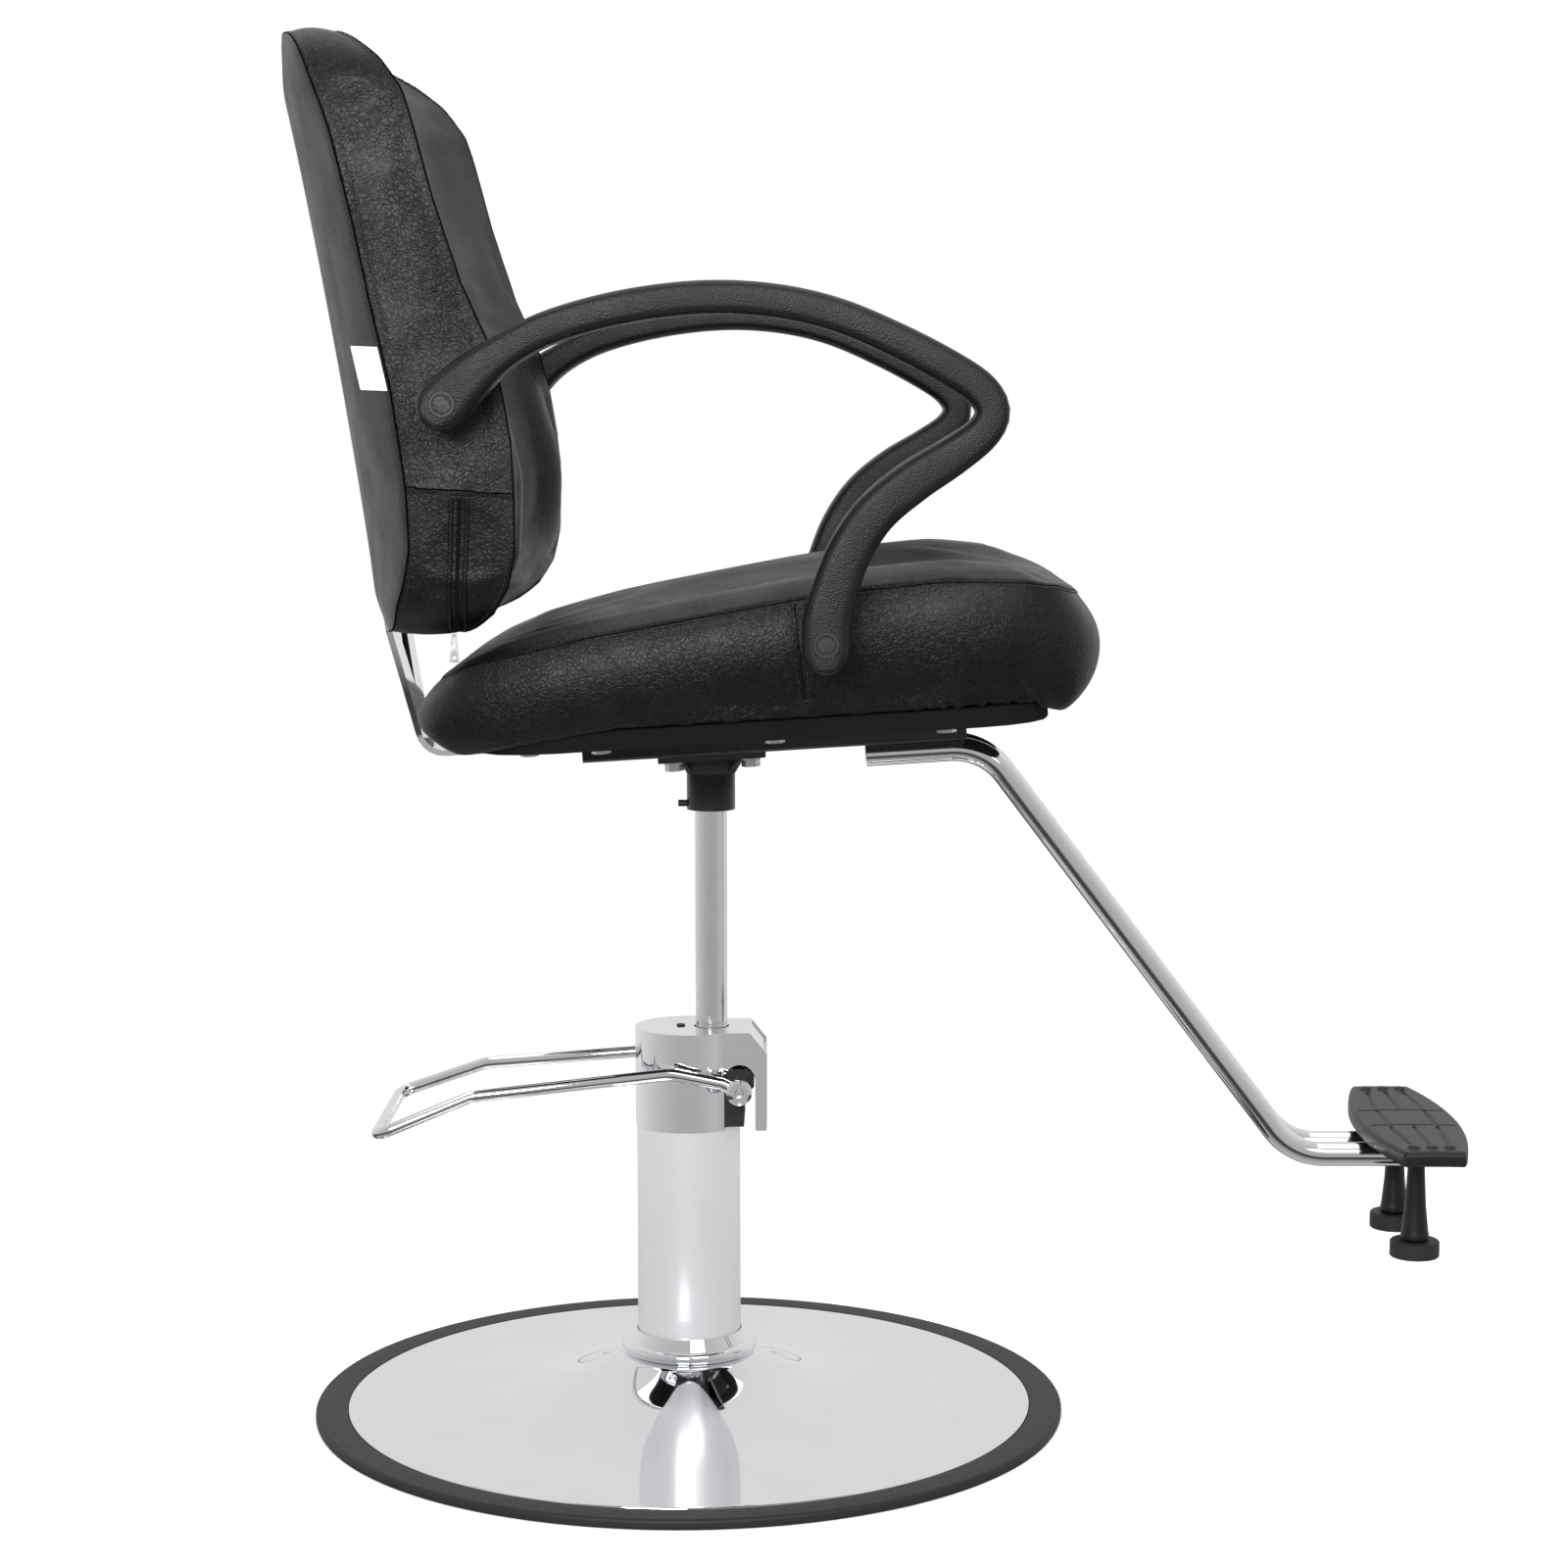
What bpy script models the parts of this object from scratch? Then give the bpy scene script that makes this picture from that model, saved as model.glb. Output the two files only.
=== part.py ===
"""Hydraulic salon styling chair.

Frame: origin on the floor under the middle of the round base, +X towards the
sitter's front, +Y to the sitter's left, +Z up. Metres.
Bodies: base (fixed), ram (lifts), seat (swivels on the ram), pedal, plunger.
"""
import math

import bmesh
import bpy
from mathutils import Matrix, Vector

CLEAR = 0.0003            # gap between meshes that touch
FIT = 0.0004              # radial play of a pin in its hole

# Base
BASE_R = 0.300            # outside of the rubber rim
RIM_WIDTH = 0.0255        # rubber seen on top
RIM_HEIGHT = 0.008
PLATE_THICK = 0.004       # flat steel plate under the cover
COVER_WALL = 0.0012
COVER_RISE = 0.038        # height of the flare above the rim
COVER_CURVE = 4.5         # how late the cover turns up into its flare
BASE_SCREWS = 4
BASE_SCREW_PCD = 0.056
BASE_SCREW_TOP = 0.0130     # below the floor of the cylinder

# Column and pump
COLUMN_R = 0.0414
COLUMN_WALL = 0.002
COLUMN_TOP = 0.236
COLLAR_R = 0.0546
COLLAR_HEIGHT = 0.018
PUMP_TOP = 0.2362
HEAD_THICK = 0.013
POST_X = 0.0185           # the ram stands forward of the column's middle
POST_R = 0.0129
POST_TOP = 0.510
LIFT_TRAVEL = 0.130
CYLINDER_ROOM = 0.0036      # the cylinder's bore beyond the ram, for the oil
CYLINDER_BORE_R = POST_R + CYLINDER_ROOM
CYLINDER_FLOOR = 0.016    # bottom of the cylinder's bore
RAM_SPARE = 0.019         # left under the ram at its lowest
GLAND_WALL = 0.0035
GLAND_R = POST_R + GLAND_WALL
GLAND_HEIGHT = 0.044

# Cap over the pump head
CAP_R = 0.0427
CAP_WALL = 0.0011
CAP_BOTTOM = 0.234
CAP_TOP = 0.3125
FINGER_ROOM = 0.0096        # pump finger's middle beyond the ram, clear of the gland
FINGER_Y = POST_R + FINGER_ROOM
CHEEK_ROOM = 0.0105         # from the finger's middle to the outside of the cap
CAP_HALF_WIDTH = FINGER_Y + CHEEK_ROOM
CAP_FRONT = 0.063
CAP_CHAMFER_X = 0.0135
CAP_CHAMFER_Z = 0.0170
SLOT_WIDTH = 0.0244
SLOT_TOP = 0.287
VENT_X = -0.006
VENT_R = 0.0025

# Pedal
SHAFT_ROOM = 0.0101         # pedal shaft's middle in front of the ram, clear of the gland
PIVOT_X = POST_X + POST_R + SHAFT_ROOM
PIVOT_Z = 0.2700
SHAFT_R = 0.006
PEDAL_R = 0.005
PEDAL_HALF_NEAR = 0.0520
PEDAL_NECK = (-0.0135, 0.0057)      # where the bar leaves its eye, from the pivot
PEDAL_SIDE = ((-0.0535, PEDAL_HALF_NEAR, 0.0135),    # corners of one side, from the pivot
              (-0.2095, 0.0670, -0.0015),
              (-0.2820, 0.0830, -0.0290))
PEDAL_BENDS = (0.040, 0.030, 0.011)
PEDAL_EYE_R = 0.0095
BOLT_HEAD_R = 0.0103
PEDAL_BOLT_R = 0.004
PLUNGER_BACK = 0.007        # plunger's middle behind the ram's
FINGER_REACH = PIVOT_X - POST_X + PLUNGER_BACK
PLUNGER_R = 0.0045
PLUNGER_DEPTH = 0.034      # how far the plunger reaches below the cylinder's top
SPRING_WIRE_R = 0.0006
SPRING_TURNS = 5
SPRING_WELL = 0.016       # depth of the spring's seat in the cylinder

# Hub and seat frame
SEAT_TILT = math.radians(3.6)
BOARD_Z = 0.5599          # underside of the seat board over the post
PAN_DEPTH = 0.025
PAN_STEEL = 0.0025
PAN_HALF_WEB = 0.051
PAN_HALF_FLANGE = 0.146
PAN_REAR = -0.100
PAN_FRONT = 0.199
HUB_WALL = 0.0063
HUB_R = POST_R + HUB_WALL
HUB_BOTTOM = 0.487
RIB_REACH = 0.0125
HUB_PLATE_THICK = 0.005
BOLT_ROOM = 0.0108          # from the hub's neck to a plate bolt, clear of the ribs
PLATE_BOLT_SPACING = 2 * (HUB_R + BOLT_ROOM)
HUB_PLATE_EDGE = 0.012
HUB_PLATE = PLATE_BOLT_SPACING + 2 * HUB_PLATE_EDGE
BOLT_R = 0.0039
BOLT_HEX = 0.0130         # across the flats
BOLT_HEX_HIGH = 0.0055
PAN_BOLT_Y = 0.130
PAN_BOLT_ROWS = (-0.0795, 0.0515, 0.1805)

# Seat
BOARD_THICK = 0.015
BOARD_HALF_WIDTH = 0.212
BOARD_REAR = -0.170
BOARD_FRONT = 0.255
SEAT_HALF_WIDTH = 0.2355
SEAT_REAR = -0.216
SEAT_FRONT = 0.306

# Back
BACK_BOTTOM = 0.632
BACK_TOP = 1.081
BACK_HALF_WIDTH = 0.2355
BACK_WRAP = 0.058         # how far the wings come forward of the middle
BACK_PANEL_THICK = 0.014
BRACKET_THICK = 0.0048
BRACKET_FOOT_WIDTH = 0.057
BRACKET_TOP_WIDTH = 0.125
BRACKET_DROP = 0.0125     # middle of the bracket below the seat board
BRACKET_FRONT = -0.020
BRACKET_BEND = -0.2255
BRACKET_SPLAY_Z = 0.570
BRACKET_TOP = 0.702
BRACKET_SINK = 0.0087     # middle of the bracket from the back's rear face
BRACKET_BOLTS = (-0.145, -0.060)

# Arms
ARM_INNER_Y = 0.2400
ARM_THICK = 0.0480
ARM_REAR_BOLT = (-0.1605, 0.8060)
ARM_FRONT_BOLT = (0.1075, 0.6380)
PLUG_R = 0.0098
PLUG_THICK = 0.0030

# Footrest
TUBE_R = 0.0096
TUBE_WALL = 0.0015
TUBE_HALF_SPACING = 0.0200
TUBE_REAR = 0.1390
TUBE_BEND_X = 0.2340
TUBE_LOW_BEND = (0.4810, 0.2128)
TUBE_FRONT = 0.5950
FOOT_BEND_R = 0.050
PAD_CENTRE_X = 0.5750
PAD_LENGTH = 0.250
PAD_HALF_MIDDLE = 0.0415
PAD_HALF_END = 0.0250
PAD_THICK = 0.014
FOOT_PLATE_THICK = 0.003
LEG_HALF_SPACING = 0.046
LEG_TOP_R = 0.0065
LEG_BOTTOM_R = 0.0112
LEG_LENGTH = 0.053
FOOT_R = 0.0195
FOOT_HEIGHT = 0.013

BASE_SIDES = 48           # sides of the round base
ROUND = 40                # sides of a large turned piece
SMALL = 12                # sides of a small turned piece


# ---------------------------------------------------------------- tools

def clear_scene():
    """Remove whatever the scene holds."""
    for item in list(bpy.data.objects):
        bpy.data.objects.remove(item, do_unlink=True)


def finish(name, colour, roughness, metallic):
    """A Principled material with one colour."""
    material = bpy.data.materials.new(name)
    material.use_nodes = True
    shader = material.node_tree.nodes["Principled BSDF"]
    shader.inputs["Base Color"].default_value = (*colour, 1.0)
    shader.inputs["Roughness"].default_value = roughness
    shader.inputs["Metallic"].default_value = metallic
    return material


def add_object(name, mesh_data, material):
    """Make an object from a bmesh and give it its finish."""
    bmesh.ops.recalc_face_normals(mesh_data, faces=mesh_data.faces)
    mesh = bpy.data.meshes.new(name)
    mesh_data.to_mesh(mesh)
    mesh_data.free()
    mesh.materials.append(material)
    mesh.shade_smooth()
    mesh.set_sharp_from_angle(angle=math.radians(35))
    item = bpy.data.objects.new(name, mesh)
    bpy.context.scene.collection.objects.link(item)
    return item


def joint_empty(name, place):
    """An empty on a joint's axis, for the pieces that move with it."""
    empty = bpy.data.objects.new(name, None)
    empty.location = place
    bpy.context.scene.collection.objects.link(empty)
    bpy.context.view_layer.update()
    return empty


def ride(empty, *pieces):
    """Parent pieces to a joint's empty where they stand."""
    for piece in pieces:
        piece.parent = empty
        piece.matrix_parent_inverse = empty.matrix_world.inverted()


def skin(rings, cap=True, around=False):
    """Join rings of equally many points into one closed body."""
    mesh_data = bmesh.new()
    loops = [[mesh_data.verts.new(point) for point in ring] for ring in rings]
    pairs = list(zip(loops, loops[1:]))
    if around:
        pairs.append((loops[-1], loops[0]))
    for near, far in pairs:
        count = len(near)
        for index in range(count):
            after = (index + 1) % count
            mesh_data.faces.new((near[index], near[after], far[after], far[index]))
    if cap:
        mesh_data.faces.new(loops[0][::-1])
        mesh_data.faces.new(loops[-1])
    return mesh_data


def turned(profile, centre=(0.0, 0.0), sides=ROUND, closed=False):
    """Spin (radius, height) points about the vertical through centre."""
    mesh_data = bmesh.new()
    rings = []
    for radius, height in profile:
        if radius == 0.0:
            rings.append([mesh_data.verts.new((centre[0], centre[1], height))])
            continue
        ring = []
        for step in range(sides):
            angle = math.tau * step / sides
            across = centre[0] + radius * math.cos(angle)
            along = centre[1] + radius * math.sin(angle)
            ring.append(mesh_data.verts.new((across, along, height)))
        rings.append(ring)
    pairs = list(zip(rings, rings[1:]))
    if closed:
        pairs.append((rings[-1], rings[0]))
    for low, high in pairs:
        for step in range(sides):
            after = (step + 1) % sides
            face = [low[step % len(low)], low[after % len(low)],
                    high[after % len(high)], high[step % len(high)]]
            mesh_data.faces.new(list(dict.fromkeys(face)))
    return mesh_data


def ring_profile(inner, outer, low, high):
    """Closed profile of a plain ring."""
    return [(inner, low), (outer, low), (outer, high), (inner, high)]


def rod_mesh(radius, start, end, sides=SMALL):
    """A straight round bar between two points."""
    run = Vector(end) - Vector(start)
    circle = [(radius * math.cos(math.tau * step / sides), radius * math.sin(math.tau * step / sides))
              for step in range(sides)]
    mesh_data = plate_mesh(circle, 0.0, run.length)
    turn = run.to_track_quat("Z", "Y").to_matrix().to_4x4()
    mesh_data.transform(Matrix.Translation(start) @ turn)
    return mesh_data


def plate_mesh(outline, low, high, plane="XY"):
    """Extrude an outline between two levels across the named plane."""
    order = {"XY": lambda a, b, c: (a, b, c),
             "XZ": lambda a, b, c: (a, c, b),
             "YZ": lambda a, b, c: (c, a, b)}[plane]
    rings = [[order(a, b, level) for a, b in outline] for level in (low, high)]
    return skin(rings)


def box_outline(left, right, low, high):
    """Four corners of a rectangle."""
    return [(left, low), (right, low), (right, high), (left, high)]


def hex_outline(flats, centre=(0.0, 0.0)):
    """Six corners of a hexagon with the given distance across its flats."""
    radius = flats / math.sqrt(3)
    return [(centre[0] + radius * math.cos(math.tau * side / 6),
             centre[1] + radius * math.sin(math.tau * side / 6)) for side in range(6)]


def rounded_path(corners, radii, steps=6):
    """Straight runs through 3-D corners with a true arc at each inner corner."""
    points = [Vector(corners[0])]
    for before, here, after, radius in zip(corners, corners[1:], corners[2:], radii):
        here = Vector(here)
        inward = (Vector(before) - here).normalized()
        outward = (Vector(after) - here).normalized()
        half = inward.angle(outward) / 2
        reach = radius / math.tan(half)
        middle = here + (inward + outward).normalized() * (radius / math.sin(half))
        first = (here + inward * reach - middle).normalized()
        last = (here + outward * reach - middle).normalized()
        for step in range(steps + 1):
            points.append(middle + first.slerp(last, step / steps) * radius)
    points.append(Vector(corners[-1]))
    return points


def sweep_rings(path, section):
    """Rings of a section along a path; section(i) gives (side, up) pairs for point i."""
    rings = []
    side = None
    for index, point in enumerate(path):
        before = path[max(index - 1, 0)]
        after = path[min(index + 1, len(path) - 1)]
        run = (after - before).normalized()
        if side is None:
            up = Vector((0.0, 1.0, 0.0)) if abs(run.y) < 0.9 else Vector((0.0, 0.0, 1.0))
            side = run.cross(up).normalized()
        side = (side - run * side.dot(run)).normalized()
        lift = side.cross(run)
        rings.append([point + side * a + lift * b for a, b in section(index)])
    return rings


def swept(path, section):
    """A closed body with a section carried along a path."""
    return skin(sweep_rings(path, section))


def swept_tube(path, radius, wall, sides):
    """A round tube along a path, open at both ends."""
    outer = sweep_rings(path, round_section(radius, sides))
    inner = sweep_rings(path, round_section(radius - wall, sides))
    return skin(outer + inner[::-1], cap=False, around=True)


def round_section(radius, sides):
    """Section of a round tube or bar."""
    points = [(radius * math.cos(math.tau * step / sides),
               radius * math.sin(math.tau * step / sides)) for step in range(sides)]
    return lambda index: points


def boolean(target, mesh_data, operation="DIFFERENCE"):
    """Cut with a hidden cutter, or join with it."""
    cutter = add_object(target.name + "_cutter_" + str(len(target.modifiers)), mesh_data,
                        target.data.materials[0])
    cutter.hide_render = True
    cutter.display_type = "WIRE"
    cut = target.modifiers.new(operation.title(), "BOOLEAN")
    cut.operation = operation
    cut.solver = "EXACT"
    cut.object = cutter
    return cutter


def seat_matrix():
    """From the seat's own frame (origin over the post, under the board) to the world."""
    return Matrix.Translation((POST_X, 0.0, BOARD_Z)) @ Matrix.Rotation(-SEAT_TILT, 4, "Y")


def in_seat(mesh_data):
    """Put a mesh made in the seat's own frame into the world."""
    mesh_data.transform(seat_matrix())
    return mesh_data


# ---------------------------------------------------------------- base

def cover_height(radius):
    """Top of the chrome cover at a radius: nearly flat, then a flare."""
    outer = BASE_R - RIM_WIDTH
    share = (outer - radius) / (outer - COLLAR_R)
    return RIM_HEIGHT + 0.002 * share + COVER_RISE * share ** COVER_CURVE


def make_base(chrome, steel, rubber, zinc):
    """Steel plate, rubber rim, chrome cover, collar and the plate's screws."""
    edge = BASE_R - RIM_WIDTH
    plate_r = edge - CLEAR
    plate = add_object("base_plate", turned(
        [(0.0, 0.0), (plate_r, 0.0), (plate_r, PLATE_THICK), (0.0, PLATE_THICK)], sides=BASE_SIDES), steel)
    add_object("base_rim", turned(
        [(edge, 0.0), (BASE_R - 0.0015, 0.0), (BASE_R, 0.0015), (BASE_R, RIM_HEIGHT - 0.002),
         (BASE_R - 0.002, RIM_HEIGHT), (edge, RIM_HEIGHT)], sides=BASE_SIDES, closed=True), rubber)
    stations = [edge - CLEAR - (edge - CLEAR - COLLAR_R) * step / 7 for step in range(8)]
    inner = COLUMN_R + FIT
    top = [(radius, cover_height(radius)) for radius in stations]
    top.append((inner, cover_height(COLLAR_R)))
    under = [(radius, height - COVER_WALL) for radius, height in reversed(top)]
    skirt = [(edge - CLEAR - COVER_WALL, PLATE_THICK + CLEAR), (edge - CLEAR, PLATE_THICK + CLEAR)]
    under[-1] = (edge - CLEAR - COVER_WALL, top[0][1] - COVER_WALL)
    add_object("base_cover", turned(top + under + skirt, sides=BASE_SIDES, closed=True), chrome)
    low = cover_height(COLLAR_R) + CLEAR
    high = low + COLLAR_HEIGHT
    bead = COLLAR_R - 0.004
    add_object("column_collar", turned(
        [(inner, low), (bead, low), (COLLAR_R, low + 0.003), (COLLAR_R, low + 0.008),
         (bead, low + 0.012), (inner + 0.003, high), (inner, high)], closed=True), chrome)
    for index in range(BASE_SCREWS):
        angle = math.tau * (index + 0.5) / BASE_SCREWS
        place = (BASE_SCREW_PCD / 2 * math.cos(angle), BASE_SCREW_PCD / 2 * math.sin(angle))
        sink = [(0.0, -0.001), (0.0085, -0.001), (0.0085, 0.0008), (0.0055, 0.003),
                (0.0055, PLATE_THICK + 0.001), (0.0, PLATE_THICK + 0.001)]
        boolean(plate, turned(sink, place, SMALL))
        screw = [(0.0, 0.0006), (0.0080, 0.0006), (0.0050, 0.0032), (0.0050, BASE_SCREW_TOP),
                 (0.0, BASE_SCREW_TOP)]
        add_object("base_screw_" + str(index + 1), turned(screw, place, SMALL), zinc)


def make_pump(satin, black_iron, steel):
    """Column tube, pump cylinder inside it, the iron head on top and the gland."""
    low = PLATE_THICK + CLEAR
    column_bore = COLUMN_R - COLUMN_WALL
    add_object("column_tube", turned(
        ring_profile(column_bore, COLUMN_R, low, COLUMN_TOP), closed=True), satin)
    body_r = column_bore - FIT
    cylinder = add_object("pump_cylinder", turned(
        [(0.0, low), (body_r, low), (body_r, PUMP_TOP), (0.0, PUMP_TOP)]), black_iron)
    boolean(cylinder, turned(
        [(0.0, CYLINDER_FLOOR), (CYLINDER_BORE_R, CYLINDER_FLOOR), (CYLINDER_BORE_R, PUMP_TOP + 0.01),
         (0.0, PUMP_TOP + 0.01)], (POST_X, 0.0), 24))
    for index in range(BASE_SCREWS):
        angle = math.tau * (index + 0.5) / BASE_SCREWS
        place = (BASE_SCREW_PCD / 2 * math.cos(angle), BASE_SCREW_PCD / 2 * math.sin(angle))
        hole = 0.0050 + FIT
        boolean(cylinder, turned([(0.0, 0.0), (hole, 0.0), (hole, BASE_SCREW_TOP + 0.001),
                                  (0.0, BASE_SCREW_TOP + 0.001)],
                                 place, SMALL))
    make_head(cylinder, black_iron)
    base = PUMP_TOP + HEAD_THICK + CLEAR * 2
    bore = POST_R + FIT
    add_object("ram_gland", turned(
        [(bore, base), (GLAND_R, base), (GLAND_R, base + GLAND_HEIGHT * 0.8),
         (GLAND_R - 0.002, base + GLAND_HEIGHT), (bore, base + GLAND_HEIGHT)],
        (POST_X, 0.0), 24, closed=True), steel)


def spring_coil_r():
    """Radius of the spring's coil, round the plunger."""
    return PLUNGER_R + FIT + SPRING_WIRE_R + CLEAR


def make_head(cylinder, black_iron):
    """Iron head: a flange, two cheeks that hold the pedal's shaft, bores for ram and plunger."""
    base = PUMP_TOP + CLEAR
    top = base + HEAD_THICK
    flange_r = CAP_R - CAP_WALL - FIT
    head = add_object("pump_head", turned(
        [(0.0, base), (flange_r, base), (flange_r, top), (0.0, top)], sides=ROUND), black_iron)
    front = PIVOT_X + 0.0035
    outer = CAP_HALF_WIDTH - CAP_WALL - FIT
    inner = FINGER_Y + 0.0035
    boolean(head, plate_mesh(box_outline(0.004, front, -outer, outer), base + 0.0004,
                             top - 0.0004), "UNION")
    cheek = [(0.0250, base + 0.002), (front - 0.0005, base + 0.002), (front - 0.0005, PIVOT_Z - 0.010),
             (PIVOT_X + 0.0115, PIVOT_Z - 0.001), (PIVOT_X + 0.0115, PIVOT_Z + 0.008),
             (PIVOT_X + 0.006, PIVOT_Z + 0.013), (PIVOT_X - 0.010, PIVOT_Z + 0.013)]
    for sign in (-1, 1):
        span = sorted((sign * inner, sign * (outer - 0.0003)))
        boolean(head, plate_mesh(cheek, span[0], span[1], "XZ"), "UNION")
    bore = POST_R + FIT
    boolean(head, turned([(0.0, base - 0.01), (bore, base - 0.01), (bore, top + 0.01),
                          (0.0, top + 0.01)], (POST_X, 0.0), 24))
    boolean(head, rod_mesh(SHAFT_R + FIT, (PIVOT_X, -0.05, PIVOT_Z), (PIVOT_X, 0.05, PIVOT_Z)))
    plunger_at = (PIVOT_X - FINGER_REACH, FINGER_Y)
    well = spring_coil_r() + SPRING_WIRE_R + FIT
    boolean(head, turned([(0.0, base - 0.01), (well, base - 0.01), (well, top + 0.01),
                          (0.0, top + 0.01)], plunger_at, SMALL))
    hole = PLUNGER_R + FIT
    depth = PUMP_TOP - PLUNGER_DEPTH - 0.020
    seat = PUMP_TOP - SPRING_WELL
    boolean(cylinder, turned([(0.0, depth), (hole, depth), (hole, seat), (well, seat),
                              (well, PUMP_TOP + 0.01), (0.0, PUMP_TOP + 0.01)],
                             plunger_at, SMALL))


def cap_outline(grow, sides=32):
    """Plan of the cap: a circle with a square nose at the front."""
    radius = CAP_R + grow
    half = CAP_HALF_WIDTH + grow
    front = CAP_FRONT + grow
    start = math.asin(half / radius)
    points = [(front, -half), (front, half)]
    for step in range(sides + 1):
        angle = start + (math.tau - 2 * start) * step / sides
        points.append((radius * math.cos(angle), radius * math.sin(angle)))
    return points


def make_cap(chrome, plastic):
    """Chrome cap over the pump head, with side slots for the pedal, and its vent plug."""
    cap = add_object("pump_cap", plate_mesh(cap_outline(0.0), CAP_BOTTOM, CAP_TOP), chrome)
    boolean(cap, plate_mesh(cap_outline(-CAP_WALL), CAP_BOTTOM - 0.01, CAP_TOP - CAP_WALL))
    nose = [(CAP_FRONT - CAP_CHAMFER_X, CAP_TOP + 0.0001),
            (CAP_FRONT + 0.0001, CAP_TOP - CAP_CHAMFER_Z),
            (CAP_FRONT + 0.02, CAP_TOP - CAP_CHAMFER_Z), (CAP_FRONT + 0.02, CAP_TOP + 0.02),
            (CAP_FRONT - CAP_CHAMFER_X, CAP_TOP + 0.02)]
    boolean(cap, plate_mesh(nose, -0.05, 0.05, "XZ"))
    slope = math.hypot(CAP_CHAMFER_X, CAP_CHAMFER_Z)
    lean = (CAP_CHAMFER_X / slope, CAP_CHAMFER_Z / slope)
    top_point = (CAP_FRONT - CAP_CHAMFER_X - 0.0012, CAP_TOP - 0.0004)
    low_point = (CAP_FRONT - 0.0004, CAP_TOP - CAP_CHAMFER_Z - 0.0016)
    visor = [top_point, low_point,
             (low_point[0] - CAP_WALL * lean[1], low_point[1] - CAP_WALL * lean[0]),
             (top_point[0] - CAP_WALL * lean[1], top_point[1] - CAP_WALL * lean[0])]
    half = CAP_HALF_WIDTH - CAP_WALL / 2
    boolean(cap, plate_mesh(visor, -half, half, "XZ"), "UNION")
    slot_r = SLOT_WIDTH / 2
    arch = [(PIVOT_X - slot_r, CAP_BOTTOM - 0.01), (PIVOT_X + slot_r, CAP_BOTTOM - 0.01)]
    for step in range(9):
        angle = math.pi * step / 8
        arch.append((PIVOT_X + slot_r * math.cos(angle), SLOT_TOP - slot_r + slot_r * math.sin(angle)))
    boolean(cap, plate_mesh(arch, -0.05, 0.05, "XZ"))
    hole = POST_R + 3 * FIT
    boolean(cap, turned([(0.0, CAP_TOP - 0.01), (hole, CAP_TOP - 0.01), (hole, CAP_TOP + 0.01),
                         (0.0, CAP_TOP + 0.01)], (POST_X, 0.0), 24))
    vent = VENT_R + FIT
    boolean(cap, turned([(0.0, CAP_TOP - 0.01), (vent, CAP_TOP - 0.01), (vent, CAP_TOP + 0.01),
                         (0.0, CAP_TOP + 0.01)], (VENT_X, 0.0), SMALL))
    low = CAP_TOP - 0.006
    add_object("vent_plug", turned(
        [(0.0, low), (VENT_R, low), (VENT_R, CAP_TOP + CLEAR), (VENT_R + 0.001, CAP_TOP + CLEAR),
         (VENT_R + 0.0008, CAP_TOP + 0.0012), (0.0, CAP_TOP + 0.0015)], (VENT_X, 0.0), SMALL), plastic)


# ---------------------------------------------------------------- pedal

def pedal_path():
    """Centre line of the pedal's bar, from one eye round the back to the other."""
    corners = [(PEDAL_NECK[0], PEDAL_HALF_NEAR, PEDAL_NECK[1])] + list(PEDAL_SIDE)
    side = [(PIVOT_X + x, y, PIVOT_Z + z) for x, y, z in corners]
    other = [(x, -y, z) for x, y, z in reversed(side)]
    return rounded_path(side + other, PEDAL_BENDS + PEDAL_BENDS[::-1], steps=3)


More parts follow.
